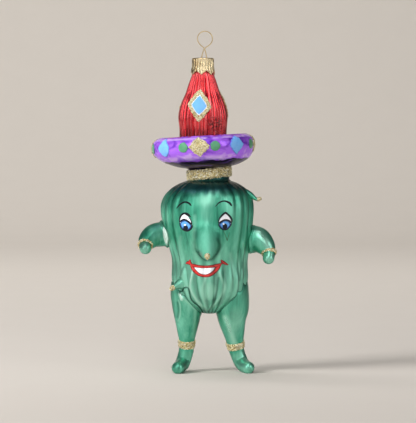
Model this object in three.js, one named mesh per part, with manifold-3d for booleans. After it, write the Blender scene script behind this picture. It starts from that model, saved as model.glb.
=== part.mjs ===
// A blown-glass cactus figure in a wide hat, hung by a wire loop: a hand-made tree ornament.
// Millimetres, +Z up. The figure faces -Y, and left and right are those of someone looking at it.
// The glass is modelled as the blown shells that are fused together, each open at its joints.

import {
  BoxGeometry,
  Box3,
  BufferAttribute,
  BufferGeometry,
  CatmullRomCurve3,
  CylinderGeometry,
  ExtrudeGeometry,
  Group,
  MathUtils,
  Mesh,
  MeshStandardMaterial,
  Shape,
  SplineCurve,
  Vector2,
  Vector3,
} from 'three';
import { ParametricGeometry } from 'three/addons/geometries/ParametricGeometry.js';
import { mergeVertices } from 'three/addons/utils/BufferGeometryUtils.js';
import Module from 'manifold-3d';

const wasm = await Module();
wasm.setup();

// Glass and clearances
const wall = 0.9;
const seam = 0.3; // gap left where two pieces are fused, glued or painted on

// Body: head and torso in one ribbed bulb
const crotchHeight = 28.2; // floor to the lowest point of the bulb
const bodyHeight = 64.6; // lowest point of the bulb to the root of its neck
const torsoRadius = 18.5;
const headRadius = 22.6;
const bodyDepth = 0.93; // front to back, as a share of the width
const neckRadius = 9.8;
const ribCount = 24;
const ribDepth = 0.75;
const torsoShift = 1.8; // the bulb is hand-blown, so its axis wanders sideways
const headShift = 0.6;
const neckShift = 1.4;

// Legs and feet
const hipSpread = 10.8; // the torso's axis to each leg's axis
const legDepthPlace = 1.0; // how far behind the body's axis the thighs stand
const thighRise = 9.5; // lowest point of the bulb to the widest part of the thighs
const thighRadius = 8.1;
const thighDepth = 1.3; // the fused root of a leg is deeper than it is wide
const kneeRadius = 4.9;
const ankleRadius = 3.75;
const ankleHeight = 10;
const heelSetback = 4.6;
const leftSplay = 0.4; // how far outward the ankle stands
const rightSplay = 2;
const leftToeOut = 4;
const rightToeOut = 5.6;
const leftLegGirth = 0.96; // a share of the radii
const rightLegGirth = 1.08;
const footLength = 10;
const toeRadius = 3.1;
const soleCut = 0.45; // how deep the flat of each sole is

// Arms and hands
const shoulderHeight = 66.4;
const armReach = 9; // how far the hands stand out from the bulb
const upperArmRadius = 5.9;
const wristRadius = 3.0;
const handRadius = 2.8;

// Nose and thorns, pulled from the hot glass
const noseRadius = 5.2;
const noseReach = 9.5;
const noseHeight = 61.4;
const noseShift = -0.9; // across, from the bulb's middle
const noseBridge = 7.5; // how far above the nose its root fades into the face
const thornRadius = 1.6;
const headThornReach = 4.4;
const headThornDrop = 6.2; // below the root of the neck
const headThornForward = 4;
const hipThornReach = 4.6;
const hipThornRise = 15; // above the lowest point of the bulb
const hipThornTurn = MathUtils.degToRad(-53);
const pulledTipRadius = 0.6;

// Hat
const hatTilt = MathUtils.degToRad(3.3); // right side up
const hatSet = 2.1; // how far left of the neck the hat sits
const brimRadius = 24.7;
const brimRimRadius = 20.6;
const brimHeight = 16.2;
const gutterDepth = 5;
const crownRise = 1.4; // the crown's foot above the gutter's floor
const crownRadius = 11.9;
const crownBaseRadius = 11.4;
const crownHeight = 34.3;
const crownFlutes = 36;
const fluteDepth = 0.35;

// Neck of the glass, metal cap and wire
const mouthRadius = 4.6;
const mouthLength = 5.4;
const capSheet = 0.35;
const capHeight = 8.1;
const capTeeth = 7;
const capToothDepth = 1.9;
const capTurn = MathUtils.degToRad(-8); // a tooth's place, from -Y towards +X
const capFlare = 0.5;
const capFlutesPerTooth = 3;
const capFluteDepth = 0.16;
const wireDiameter = 0.56;
const wireHoleClearance = 0.4;
const wireHoles = [-0.9, 1.9]; // across the cap, from its centre
const wireLegSpread = 2.9;
const wireLegLength = 9.3;
const wireCrossing = { across: 0.67, height: 4.4 };
const wireCrossingGap = 0.34;
const loopRadius = 3.6;
const loopCentre = { across: 0.96, height: 9.2 };
const loopSteps = 8;

// Glitter and enamel, laid on the glass
const glitterDepth = 0.7;
const enamelDepth = 0.45;
const hatBandHeight = 4.3;
const wristBandLength = 1.7;
const ankleBandLength = 4;
const tipGlitterLength = 1.8;
const crownFacing = MathUtils.degToRad(-9.5); // each pattern's front, from -Y towards +X
const brimFacing = MathUtils.degToRad(-4.5);
const crownLozenges = 3;
const brimRepeats = 4;
const crownLozenge = { halfWidth: 6, halfHeight: 7.9, above: 17.5 };
const crownLozengeBlue = { halfWidth: 3.6, halfHeight: 4.8 };
const brimPatternHeight = 11; // above the brim's seat on the neck
const brimGold = { halfWidth: 4.8, halfHeight: 4.2 };
const brimBlue = { halfWidth: 4.2, halfHeight: 4.1 };
const brimDotRadius = 2.4;
const brimDotTurn = MathUtils.degToRad(18); // from the gold lozenge to the dot beside it

// Levels that follow from the sizes above
const neckRoot = crotchHeight + bodyHeight;
const neckLength = hatBandHeight + neckRadius * Math.tan(hatTilt) + seam;
const hatSeat = neckRoot + neckLength;
const crownSeat = brimHeight - gutterDepth + crownRise;
const mouthTop = crownHeight + mouthLength;

const finish = (color, roughness, metalness) =>
  new MeshStandardMaterial({ color, roughness, metalness });
const greenGlass = finish(0x3e9673, 0.32, 0.55);
const redGlass = finish(0xb41826, 0.16, 0.6);
const purpleGlass = finish(0x8a3fd1, 0.14, 0.5);
const goldGlitter = finish(0xc8b978, 0.55, 0.7);
const blueEnamel = finish(0x62b0f5, 0.35, 0);
const greenEnamel = finish(0x4f9a68, 0.4, 0);
const goldMetal = finish(0xe6c478, 0.28, 1);
const goldWire = finish(0xc9a66a, 0.3, 1);

const root = new Group();

function addMesh(parent, name, geometry, material) {
  const mesh = new Mesh(geometry, material);
  mesh.name = name;
  parent.add(mesh);
  return mesh;
}

// A surface whose seam and poles meet, as one closed skin with its faces pointing out.
function closedSkin(surface) {
  const bare = surface.clone();
  bare.deleteAttribute('normal');
  bare.deleteAttribute('uv');
  const merged = mergeVertices(bare, 1e-4);
  const place = merged.getAttribute('position');
  const corners = merged.getIndex().array;
  const faces = [];
  let volume = 0;
  const [a, b, c] = [new Vector3(), new Vector3(), new Vector3()];
  for (let i = 0; i < corners.length; i += 3) {
    const face = [corners[i], corners[i + 1], corners[i + 2]];
    if (new Set(face).size === 3) {
      faces.push(face);
      a.fromBufferAttribute(place, face[0]);
      b.fromBufferAttribute(place, face[1]);
      c.fromBufferAttribute(place, face[2]);
      volume += a.dot(b.cross(c));
    }
  }
  const outward = volume > 0 ? faces : faces.map((face) => [face[0], face[2], face[1]]);
  merged.setIndex(outward.flat());
  merged.computeVertexNormals();
  return merged;
}

function solidOf(surface) {
  const skin = closedSkin(surface);
  return new wasm.Manifold(
    new wasm.Mesh({
      numProp: 3,
      vertProperties: new Float32Array(skin.getAttribute('position').array),
      triVerts: new Uint32Array(skin.getIndex().array),
    }),
  );
}

function geometryOf(solid) {
  const mesh = solid.getMesh();
  const geometry = new BufferGeometry();
  geometry.setAttribute('position', new BufferAttribute(new Float32Array(mesh.vertProperties), 3));
  geometry.setIndex(Array.from(mesh.triVerts));
  geometry.computeVertexNormals();
  return geometry;
}

const spline = (points) => new SplineCurve(points.map(([x, y]) => new Vector2(x, y)));

// A point of an outline of radius against height, moved outward by offset.
function outlinePoint(outline, t, offset = 0) {
  const point = outline.getPoint(t);
  const tangent = outline.getTangent(t);
  return { radius: point.x + tangent.y * offset, height: point.y - tangent.x * offset };
}

// Where a rising outline passes a height.
function outlineAt(outline, height) {
  let low = 0;
  let high = 1;
  while (high - low > 1e-5) {
    const middle = (low + high) / 2;
    if (outline.getPoint(middle).y < height) {
      low = middle;
    } else {
      high = middle;
    }
  }
  return (low + high) / 2;
}

// A point at an angle from -Y towards +X round an upright axis.
const around = (angle, radius, height, depth = 1) =>
  new Vector3(radius * Math.sin(angle), -radius * Math.cos(angle) * depth, height);

// Rings of points, skinned in order. The first and last may be poles, or the same ring.
function ringSurface(ringCount, slices, pointAt) {
  return new ParametricGeometry(
    (u, v, target) => {
      const slice = Math.round(u * slices) % slices;
      target.copy(pointAt(Math.round(v * (ringCount - 1)), (2 * Math.PI * slice) / slices));
    },
    slices,
    ringCount - 1,
  );
}

// Limbs: a round tube of changing radius along a curve, with a round tip and a flat root.
// side is a direction that is never along the curve.
function makeLimb(stations, side, rootDepth = 1) {
  const count = stations.length - 1;
  const path = new CatmullRomCurve3(
    stations.map(([x, y, z]) => new Vector3(x, y, z)),
    false,
    'centripetal',
  );
  const girth = spline(stations.map(([, , , radius], i) => [i / count, radius]));
  const depth = (t) => MathUtils.lerp(rootDepth, 1, MathUtils.smoothstep(t, 0, 0.45));
  const stationAt = (t, offset) => ({
    centre: path.getPoint(t),
    along: path.getTangent(t),
    radius: girth.getPoint(t).y + offset,
    depth: depth(t),
  });
  const tipFrom = (offset, steps) => {
    const end = stationAt(1, offset);
    return Array.from({ length: steps }, (_, i) => {
      const turn = ((i + 1) / steps) * (Math.PI / 2);
      return {
        ...end,
        centre: end.centre.clone().addScaledVector(end.along, end.radius * Math.sin(turn)),
        radius: i + 1 === steps ? 0 : end.radius * Math.cos(turn),
      };
    });
  };
  const stretch = (from, to, offset, steps) =>
    Array.from({ length: steps + 1 }, (_, i) =>
      stationAt(MathUtils.lerp(from, to, i / steps), offset),
    );
  return { stationAt, tipFrom, stretch, side, length: path.getLength() };
}

function limbSkin(limb, stations, slices) {
  return ringSurface(stations.length, slices, (index, angle) => {
    const { centre, along, radius, depth } = stations[index];
    const across = new Vector3().crossVectors(limb.side, along).normalize();
    const up = new Vector3().crossVectors(along, across);
    return centre
      .clone()
      .addScaledVector(across, radius * depth * Math.cos(angle))
      .addScaledVector(up, radius * Math.sin(angle));
  });
}

function limbSolid(limb, offset, slices, steps) {
  const body = limb.stretch(0, 1, offset, steps);
  const pole = { ...body[0], radius: 0 };
  return solidOf(limbSkin(limb, [pole, ...body, ...limb.tipFrom(offset, 4)], slices));
}

// A ring of glitter round a limb, its middle at t along it.
function limbBand(limb, t, length, slices) {
  const reach = length / limb.length / 2;
  const edge = seam + glitterDepth / 2;
  const rings = [
    limb.stationAt(t - reach, seam),
    limb.stationAt(t - reach, edge),
    limb.stationAt(t - reach / 2, seam + glitterDepth),
    limb.stationAt(t + reach / 2, seam + glitterDepth),
    limb.stationAt(t + reach, edge),
    limb.stationAt(t + reach, seam),
  ];
  return closedSkin(limbSkin(limb, [...rings, rings[0]], slices));
}

// A thimble of glitter over a limb's tip.
function limbThimble(limb, length, slices) {
  const from = 1 - length / limb.length;
  const inner = [...limb.stretch(from, 1, seam, 2), ...limb.tipFrom(seam, 2)].reverse();
  const outerOffset = seam + glitterDepth / 2;
  const outer = [...limb.stretch(from, 1, outerOffset, 2), ...limb.tipFrom(outerOffset, 2)];
  return closedSkin(limbSkin(limb, [...inner, ...outer], slices));
}

// The body's bulb, as radius against height, from its lowest point to the root of its neck
const bodyOutline = spline([
  [0, crotchHeight],
  [0.33 * torsoRadius, crotchHeight + 0.018 * bodyHeight],
  [0.64 * torsoRadius, crotchHeight + 0.075 * bodyHeight],
  [0.9 * torsoRadius, crotchHeight + 0.155 * bodyHeight],
  [torsoRadius, crotchHeight + 0.26 * bodyHeight],
  [torsoRadius, crotchHeight + 0.41 * bodyHeight],
  [0.45 * torsoRadius + 0.55 * headRadius, crotchHeight + 0.57 * bodyHeight],
  [headRadius, crotchHeight + 0.76 * bodyHeight],
  [0.965 * headRadius, crotchHeight + 0.86 * bodyHeight],
  [0.83 * headRadius, crotchHeight + 0.926 * bodyHeight],
  [0.65 * headRadius, crotchHeight + 0.968 * bodyHeight],
  [1.09 * neckRadius, neckRoot - 0.008 * bodyHeight],
]);

// How far sideways the bulb's axis has wandered at a height
function bodyShift(height) {
  const rise = (height - crotchHeight) / bodyHeight;
  const toHead = MathUtils.smoothstep(rise, 0.4, 0.75);
  const toNeck = MathUtils.smoothstep(rise, 0.78, 0.97);
  const shift = MathUtils.lerp(torsoShift, headShift, toHead);
  return MathUtils.lerp(shift, neckShift, toNeck);
}

function bodyPoint(angle, point, ribs) {
  const rise = (point.height - crotchHeight) / bodyHeight;
  const roundNeck = MathUtils.smoothstep(rise, 0.85, 0.98);
  const depth = MathUtils.lerp(bodyDepth, 1, roundNeck);
  const swell = ribs * (point.radius / headRadius) * (1 - roundNeck);
  const crest = Math.abs(Math.cos((ribCount * angle) / 2)) - 1;
  const place = around(angle, point.radius + swell * crest, point.height, depth);
  place.x += bodyShift(point.height);
  return place;
}

// The bulb and its neck as a filled form. Its inside and its keep-out form use an offset.
function bulbSolid(offset, slices, ringSteps, neckEnd, ribs) {
  const rings = Array.from({ length: ringSteps }, (_, i) =>
    outlinePoint(bodyOutline, (i + 0.35) / (ringSteps - 0.65), offset),
  );
  const bottom = { radius: 0, height: crotchHeight - offset };
  const neck = [
    { radius: neckRadius + offset, height: neckRoot + seam },
    { radius: neckRadius + offset, height: neckEnd },
    { radius: 0, height: neckEnd },
  ];
  const stack = [bottom, ...rings, ...neck];
  return solidOf(
    ringSurface(stack.length, slices, (index, angle) => bodyPoint(angle, stack[index], ribs)),
  );
}

const bulbSlices = ribCount * 4;
const bulbRings = 13;
const surfaceX = (side, height) =>
  bodyShift(height) + side * outlinePoint(bodyOutline, outlineAt(bodyOutline, height)).radius;
const frontY = (height) =>
  -bodyDepth * outlinePoint(bodyOutline, outlineAt(bodyOutline, height)).radius;

// Arms, from inside the shoulder to the hand. Each step is out, forward and down, as shares of
// the arm's reach, and the radius there.
function armStations(side, steps) {
  const shoulder = surfaceX(side, shoulderHeight);
  return steps.map(([out, forward, down, radius]) => [
    shoulder + side * out * armReach,
    -forward * armReach,
    shoulderHeight - down * armReach,
    radius,
  ]);
}
const armSide = new Vector3(0, 1, -0.5);
const leftArm = makeLimb(
  armStations(-1, [
    [-0.78, 0, 0.02, 0.95 * upperArmRadius],
    [0.04, 0.06, -0.03, upperArmRadius],
    [0.58, 0.28, 0.06, 0.95 * upperArmRadius],
    [0.92, 0.61, 0.34, 0.5 * (upperArmRadius + wristRadius)],
    [1.01, 0.86, 0.54, wristRadius],
    [0.99, 1.07, 0.68, handRadius],
  ]),
  armSide,
);
const rightArm = makeLimb(
  armStations(1, [
    [-0.89, 0, 0.36, 1.05 * upperArmRadius],
    [-0.07, 0, 0.25, 1.13 * upperArmRadius],
    [0.37, 0.18, 0.31, 1.05 * upperArmRadius],
    [0.76, 0.47, 0.67, 0.51 * (upperArmRadius + wristRadius)],
    [0.89, 0.68, 0.96, wristRadius],
    [0.86, 0.83, 1.22, handRadius],
  ]),
  armSide,
);

// Legs, from inside the hip to the ball of the toe. splay is how far the ankle stands outward.
function legStations(side, splay, toeOut, girth) {
  const hip = torsoShift + side * hipSpread;
  const shin = (share) => MathUtils.lerp(ankleHeight, crotchHeight, share);
  const toeForward = Math.sqrt(footLength ** 2 - toeOut ** 2);
  const ankle = hip + side * splay;
  const sole = (radius) => radius - soleCut;
  return [
    [hip, legDepthPlace, crotchHeight + 1.63 * thighRise, 0.92 * thighRadius],
    [hip, legDepthPlace, crotchHeight + thighRise, thighRadius],
    [hip, legDepthPlace, crotchHeight + 0.27 * thighRise, 0.92 * thighRadius * girth],
    [hip, 1.4 * legDepthPlace, shin(0.85), 0.78 * thighRadius * girth],
    [MathUtils.lerp(hip, ankle, 0.4), 0.5 * heelSetback, shin(0.52), kneeRadius * girth],
    [MathUtils.lerp(hip, ankle, 0.75), 0.75 * heelSetback, shin(0.22), ankleRadius * girth],
    [ankle + side * 0.04 * toeOut, 0.94 * heelSetback, ankleHeight, ankleRadius * 0.97],
    [ankle + side * 0.38 * toeOut, 0.9 * heelSetback, 0.5 * ankleHeight, ankleRadius],
    [ankle + side * 0.66 * toeOut, heelSetback - 0.42 * toeForward, sole(0.94 * ankleRadius),
      0.94 * ankleRadius],
    [ankle + side * toeOut, heelSetback - toeForward, sole(toeRadius), toeRadius],
  ];
}
const legSide = new Vector3(1, 0, 0);
const leftLeg = makeLimb(
  legStations(-1, leftSplay, leftToeOut, leftLegGirth),
  legSide,
  thighDepth,
);
const rightLeg = makeLimb(
  legStations(1, rightSplay, rightToeOut, rightLegGirth),
  legSide,
  thighDepth,
);

// Nose and thorns
const noseX = bodyShift(noseHeight) + noseShift;
const noseFront = frontY(noseHeight);
const nose = makeLimb(
  [
    [noseX - 0.08 * noseRadius, noseFront + 0.74 * noseReach, noseHeight + noseBridge,
      0.7 * noseRadius],
    [noseX - 0.04 * noseRadius, noseFront + 0.26 * noseReach, noseHeight + 0.51 * noseBridge,
      noseRadius],
    [noseX, noseFront - 0.3 * noseReach, noseHeight + 0.03 * noseBridge, noseRadius],
    [noseX + 0.02 * noseRadius, noseFront - 0.75 * noseReach, noseHeight - 0.27 * noseBridge,
      0.6 * noseRadius],
    [noseX + 0.04 * noseRadius, noseFront - noseReach, noseHeight - 0.49 * noseBridge,
      pulledTipRadius],
  ],
  new Vector3(1, 0, 0),
);
const headThornHeight = neckRoot - headThornDrop;
const headThornX = surfaceX(1, headThornHeight);
const headThornStations = [
  [-0.57, 0.75, -0.05, thornRadius],
  [0.03, 1, 0.25, 0.85 * thornRadius],
  [0.45, 1.2, 0.58, 0.62 * thornRadius],
  [0.73, 1.32, 0.72, 0.46 * thornRadius],
  [1, 1.42, 0.63, pulledTipRadius],
].map(([out, forward, down, radius]) => [
  headThornX + out * headThornReach,
  -forward * headThornForward,
  headThornHeight - down * headThornReach,
  radius,
]);
const headThorn = makeLimb(headThornStations, new Vector3(0, 0, 1));
const hipThornHeight = crotchHeight + hipThornRise;
const hipThornOut = (out, down) => {
  const seat = outlineAt(bodyOutline, hipThornHeight);
  const ring = outlinePoint(bodyOutline, seat, out * hipThornReach);
  const place = bodyPoint(hipThornTurn, ring, 0);
  return [place.x, place.y, hipThornHeight - down * hipThornReach];
};
const hipThorn = makeLimb(
  [
    [...hipThornOut(-0.54, -0.17), 1.4 * thornRadius],
    [...hipThornOut(0.17, 0.07), 1.1 * thornRadius],
    [...hipThornOut(0.72, 0.3), 0.6 * thornRadius],
    [...hipThornOut(1, 0.41), pulledTipRadius],
  ],
  new Vector3(0, 0, 1),
);

// The brim's frame: its seat is on the neck, and it leans with the hat.
const brimGroup = new Group();
brimGroup.position.set(neckShift, 0, hatSeat);
brimGroup.rotation.y = -hatTilt;
root.add(brimGroup);
brimGroup.updateMatrix();

// Everything above, or below, a level of the leaning hat
function hatSlab(low, high) {
  const reach = 4 * brimRadius;
  const slab = new BoxGeometry(reach, reach, high - low).translate(0, 0, (low + high) / 2);
  return solidOf(slab.applyMatrix4(brimGroup.matrix));
}
const above = 4 * crownHeight;

// Body: the bulb with nose and thorns, hollow, open at the neck and where the limbs are fused
const limbs = [leftArm, rightArm, leftLeg, rightLeg];
let body = bulbSolid(0, bulbSlices, bulbRings, hatSeat + neckRadius, ribDepth)
  .add(limbSolid(nose, 0, 14, 9))
  .add(limbSolid(headThorn, 0, 8, 7))
  .add(limbSolid(hipThorn, 0, 8, 5))
  .subtract(bulbSolid(-wall - ribDepth / 2, ribCount, 8, hatSeat + 2 * neckRadius, 0))
  .subtract(hatSlab(-seam, above));
for (const limb of limbs) {
  body = body.subtract(limbSolid(limb, -wall, 8, 5));
}
const bulbKeepOut = bulbSolid(seam, bulbSlices, bulbRings, hatSeat, ribDepth);
addMesh(root, 'body_shell', geometryOf(body), greenGlass);

// Limbs: hollow, trimmed to the bulb, their soles cut flat where the figure stands
const belowFloor = solidOf(
  new BoxGeometry(8 * headRadius, 8 * headRadius, headRadius).translate(0, 0, -headRadius / 2),
);
function addLimb(name, limb, slices, steps) {
  const shell = limbSolid(limb, 0, slices, steps)
    .subtract(limbSolid(limb, -wall, 8, Math.round(0.6 * steps)))
    .subtract(bulbKeepOut)
    .subtract(belowFloor);
  addMesh(root, name, geometryOf(shell), greenGlass);
}
addLimb('left_arm', leftArm, 14, 9);
addLimb('right_arm', rightArm, 14, 9);
addLimb('left_leg', leftLeg, 14, 14);
addLimb('right_leg', rightLeg, 14, 14);

// Glitter on the limbs, the nose and the thorns
const wristPlace = 0.79;
const anklePlaces = { left: 0.57, right: 0.59 };
addMesh(root, 'left_wrist_band', limbBand(leftArm, wristPlace, wristBandLength, 16), goldGlitter);
addMesh(root, 'right_wrist_band', limbBand(rightArm, wristPlace, wristBandLength, 16), goldGlitter);
addMesh(root, 'left_ankle_band', limbBand(leftLeg, anklePlaces.left, ankleBandLength, 16), goldGlitter);
addMesh(root, 'right_ankle_band', limbBand(rightLeg, anklePlaces.right, ankleBandLength, 16), goldGlitter);
addMesh(root, 'nose_tip_glitter', limbThimble(nose, tipGlitterLength, 8), goldGlitter);
addMesh(root, 'head_thorn_glitter', limbThimble(headThorn, tipGlitterLength, 8), goldGlitter);
addMesh(root, 'hip_thorn_glitter', limbThimble(hipThorn, tipGlitterLength, 8), goldGlitter);

// Brim: a hollow rounded ring, its heights measured from its seat on the neck
const brimOuter = spline([
  [neckRadius, 0],
  [1.06 * neckRadius, 0.043 * brimHeight],
  [0.6 * brimRadius, 0.105 * brimHeight],
  [0.84 * brimRadius, 0.27 * brimHeight],
  [0.96 * brimRadius, 0.47 * brimHeight],
  [brimRadius, 0.68 * brimHeight],
  [0.96 * brimRadius, 0.88 * brimHeight],
  [brimRimRadius, brimHeight],
]);
const brimInner = spline([
  [brimRimRadius, brimHeight],
  [0.5 * brimRimRadius + 0.6 * crownBaseRadius, brimHeight - 0.62 * gutterDepth],
  [1.14 * crownBaseRadius, brimHeight - gutterDepth],
  [crownBaseRadius, brimHeight - 0.76 * gutterDepth],
]);
const brimSkew = (height) => -hatSet * MathUtils.smoothstep(height, 0, 0.55 * brimHeight);
function brimSolid(offset, slices, outerSteps, innerSteps, overrun) {
  const walk = (outline, from, to, steps) =>
    Array.from({ length: steps + 1 }, (_, i) =>
      outlinePoint(outline, MathUtils.lerp(from, to, i / steps), offset),
    );
  const rings = [
    { radius: 0, height: -overrun },
    { radius: neckRadius + offset, height: -overrun },
    ...walk(brimOuter, overrun ? 0.04 : 0, 0.97, outerSteps),
    ...walk(brimInner, 0.1, overrun ? 0.97 : 1, innerSteps),
    { radius: crownBaseRadius + offset, height: crownSeat + overrun },
    { radius: 0, height: crownSeat + overrun },
  ];
  return solidOf(
    ringSurface(rings.length, slices, (index, angle) => {
      const place = around(angle, rings[index].radius, rings[index].height);
      place.x += brimSkew(rings[index].height);
      return place;
    }),
  );
}
const brim = brimSolid(0, 40, 9, 3, 0).subtract(brimSolid(-wall, 22, 7, 3, 2));
addMesh(brimGroup, 'brim_shell', geometryOf(brim), purpleGlass);

// Glitter band round the joint of neck and brim, lying level with the brim
const hatBandRings = [
  [0, -0.96 * hatBandHeight],
  [0.45 * glitterDepth, -hatBandHeight],
  [glitterDepth, -0.86 * hatBandHeight],
  [glitterDepth, -0.08 * hatBandHeight],
  [0.7 * glitterDepth, 0],
  [0, 0],
].map(([out, height]) => ({ radius: neckRadius + seam + out, height }));
addMesh(
  brimGroup,
  'hat_band',
  closedSkin(
    ringSurface(hatBandRings.length + 1, 28, (index, angle) => {
      const ring = hatBandRings[index % hatBandRings.length];
      return around(angle, ring.radius, ring.height);
    }),
  ),
  goldGlitter,
);

// Crown: a fluted cone with a straight mouth for the cap, its heights from its seat on the brim
const crownOutline = spline([
  [crownBaseRadius, 0],
  [crownBaseRadius, 0.17 * crownHeight],
  [crownRadius, 0.34 * crownHeight],
  [0.95 * crownRadius, 0.47 * crownHeight],
  [0.84 * crownRadius, 0.585 * crownHeight],
  [0.7 * crownRadius, 0.69 * crownHeight],
  [0.605 * crownRadius, 0.79 * crownHeight],
  [0.3 * crownRadius + 0.5 * mouthRadius, 0.9 * crownHeight],
  [mouthRadius, crownHeight],
]);
const crownGroup = new Group();
crownGroup.position.copy(new Vector3(brimSkew(crownSeat), 0, crownSeat + seam));
crownGroup.position.applyMatrix4(brimGroup.matrix);
root.add(crownGroup);
crownGroup.updateMatrix();
const toCrown = crownGroup.matrix.clone().invert();

// grooveAt gives how deep the flutes are at an angle. They fade out below the mouth.
function crownSolid(offset, slices, steps, overrun, grooveAt) {
  const rings = [
    { radius: 0, height: -overrun },
    { radius: crownBaseRadius + offset, height: -overrun },
    ...Array.from({ length: steps + 1 }, (_, i) => outlinePoint(crownOutline, i / steps, offset)),
    { radius: mouthRadius + offset, height: mouthTop + (offset < 0 ? overrun : 0) },
    { radius: 0, height: mouthTop + (offset < 0 ? overrun : 0) },
  ];
  return solidOf(
    ringSurface(rings.length, slices, (index, angle) => {
      const { radius, height } = rings[index];
      const fade = 1 - MathUtils.smoothstep(height, 0.85 * crownHeight, crownHeight);
      return around(angle, radius && radius - fade * grooveAt(angle), height);
    }),
  );
}
const flute = (angle) => fluteDepth * (0.5 - 0.5 * Math.cos(crownFlutes * angle));
const crown = crownSolid(0, 2 * crownFlutes, 8, 2, flute)
  .subtract(crownSolid(-wall, 18, 6, 4, () => fluteDepth))
  .subtract(solidOf(geometryOf(hatSlab(-above, crownSeat + seam)).applyMatrix4(toCrown)));
addMesh(crownGroup, 'crown_shell', geometryOf(crown), redGlass);

// Patches of glitter or enamel, laid on a surface given as (across, up, out) to a point
const patchPoints = 8;
const closeScales = [0.45, 0.8, 1]; // where the brim curves most, rings lie closer
const lozenge = (angle) => {
  const span = Math.abs(Math.cos(angle)) + Math.abs(Math.sin(angle));
  return [Math.cos(angle) / span, Math.sin(angle) / span];
};
const disc = (angle) => [Math.cos(angle), Math.sin(angle)];
function patch(surface, outline, halfWidth, halfHeight, depth, scales, hole) {
  const bottom = scales.map((scale) => [scale, seam]);
  const top = scales.map((scale) => [scale, seam + depth]).reverse();
  const rings = hole ? [...bottom, ...top, bottom[0]] : [[0, seam], ...bottom, ...top, [0, seam + depth]];
  return closedSkin(
    ringSurface(rings.length, patchPoints, (index, angle) => {
      const [scale, out] = rings[index];
      const [across, up] = outline(angle);
      return surface(scale * halfWidth * across, scale * halfHeight * up, out);
    }),
  );
}
const crownSurface = (facing) => (across, up, out) => {
  const t = outlineAt(crownOutline, crownLozenge.above + up);
  const seat = outlinePoint(crownOutline, t);
  const point = outlinePoint(crownOutline, t, out);
  return around(facing + across / seat.radius, point.radius, point.height);
};
const brimSurface = (facing) => (across, up, out) => {
  const t = outlineAt(brimOuter, brimPatternHeight + up);
  const seat = outlinePoint(brimOuter, t);
  const point = outlinePoint(brimOuter, t, out);
  const place = around(facing + across / seat.radius, point.radius, point.height);
  place.x += brimSkew(seat.height);
  return place;
};

for (let i = 0; i < crownLozenges; i += 1) {
  const onCrown = crownSurface(crownFacing + (i * 2 * Math.PI) / crownLozenges);
  const { halfWidth, halfHeight } = crownLozenge;
  const inner = (crownLozengeBlue.halfWidth + 0.6) / halfWidth;
  addMesh(
    crownGroup,
    `crown_glitter_frame_${i + 1}`,
    patch(onCrown, lozenge, halfWidth, halfHeight, enamelDepth, [inner, 1], true),
    goldGlitter,
  );
  addMesh(
    crownGroup,
    `crown_blue_lozenge_${i + 1}`,
    patch(onCrown, lozenge, crownLozengeBlue.halfWidth, crownLozengeBlue.halfHeight, enamelDepth,
      [0.5, 1], false),
    blueEnamel,
  );
}

const quarter = (2 * Math.PI) / brimRepeats;
for (let i = 0; i < brimRepeats; i += 1) {
  const facing = brimFacing + i * quarter;
  addMesh(
    brimGroup,
    `brim_glitter_lozenge_${i + 1}`,
    patch(brimSurface(facing), lozenge, brimGold.halfWidth, brimGold.halfHeight, enamelDepth,
      closeScales, false),
    goldGlitter,
  );
  addMesh(
    brimGroup,
    `brim_blue_lozenge_${i + 1}`,
    patch(brimSurface(facing + quarter / 2), lozenge, brimBlue.halfWidth, brimBlue.halfHeight,
      enamelDepth, closeScales, false),
    blueEnamel,
  );
  for (const [hand, turn] of [['left', -brimDotTurn], ['right', brimDotTurn]]) {
    addMesh(
      brimGroup,
      `brim_${hand}_dot_${i + 1}`,
      patch(brimSurface(facing + turn), disc, brimDotRadius, brimDotRadius, enamelDepth,
        [0.5, 1], false),
      greenEnamel,
    );
  }
}

// Cap: thin stamped metal with a fluted wall and a zigzag skirt, over the glass mouth
const hangerGroup = new Group();
hangerGroup.position.set(0, 0, mouthTop + seam + capSheet);
crownGroup.add(hangerGroup);
const capBore = mouthRadius + seam;
const capSlices = 2 * capTeeth * capFlutesPerTooth;
const capRings = [
  { radius: 0, height: 0 },
  { radius: capBore + 0.2 * capSheet, height: 0 },
  { radius: capBore + capSheet, height: -1.15 * capSheet },
  { radius: capBore + capSheet, height: -0.5 * capHeight },
  { radius: capBore + capSheet + capFlare, height: -capHeight, skirt: 1 },
  { radius: capBore + capFlare, height: -capHeight, skirt: 1 },
  { radius: capBore, height: -0.5 * capHeight },
  { radius: capBore, height: -capSheet },
  { radius: 0, height: -capSheet },
];
const capSkin = ringSurface(capRings.length, capSlices, (index, angle) => {
  const { radius, height, skirt } = capRings[index];
  const tooth = ((capTeeth * angle) / (2 * Math.PI)) % 1;
  const bite = skirt ? capToothDepth * (1 - Math.abs(2 * tooth - 1)) : 0;
  const ridge = capFluteDepth * (0.5 + 0.5 * Math.cos(capTeeth * capFlutesPerTooth * angle));
  return around(angle + capTurn, radius + (height < -capSheet ? ridge : 0), height + bite);
});
let cap = solidOf(capSkin);
for (const across of wireHoles) {
  const hole = new CylinderGeometry(
    wireDiameter / 2 + wireHoleClearance,
    wireDiameter / 2 + wireHoleClearance,
    4 * capSheet,
    10,
  ).rotateX(Math.PI / 2);
  cap = cap.subtract(solidOf(hole.translate(across, 0, 0)));
}
addMesh(hangerGroup, 'hanger_cap', geometryOf(cap), goldMetal);

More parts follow.
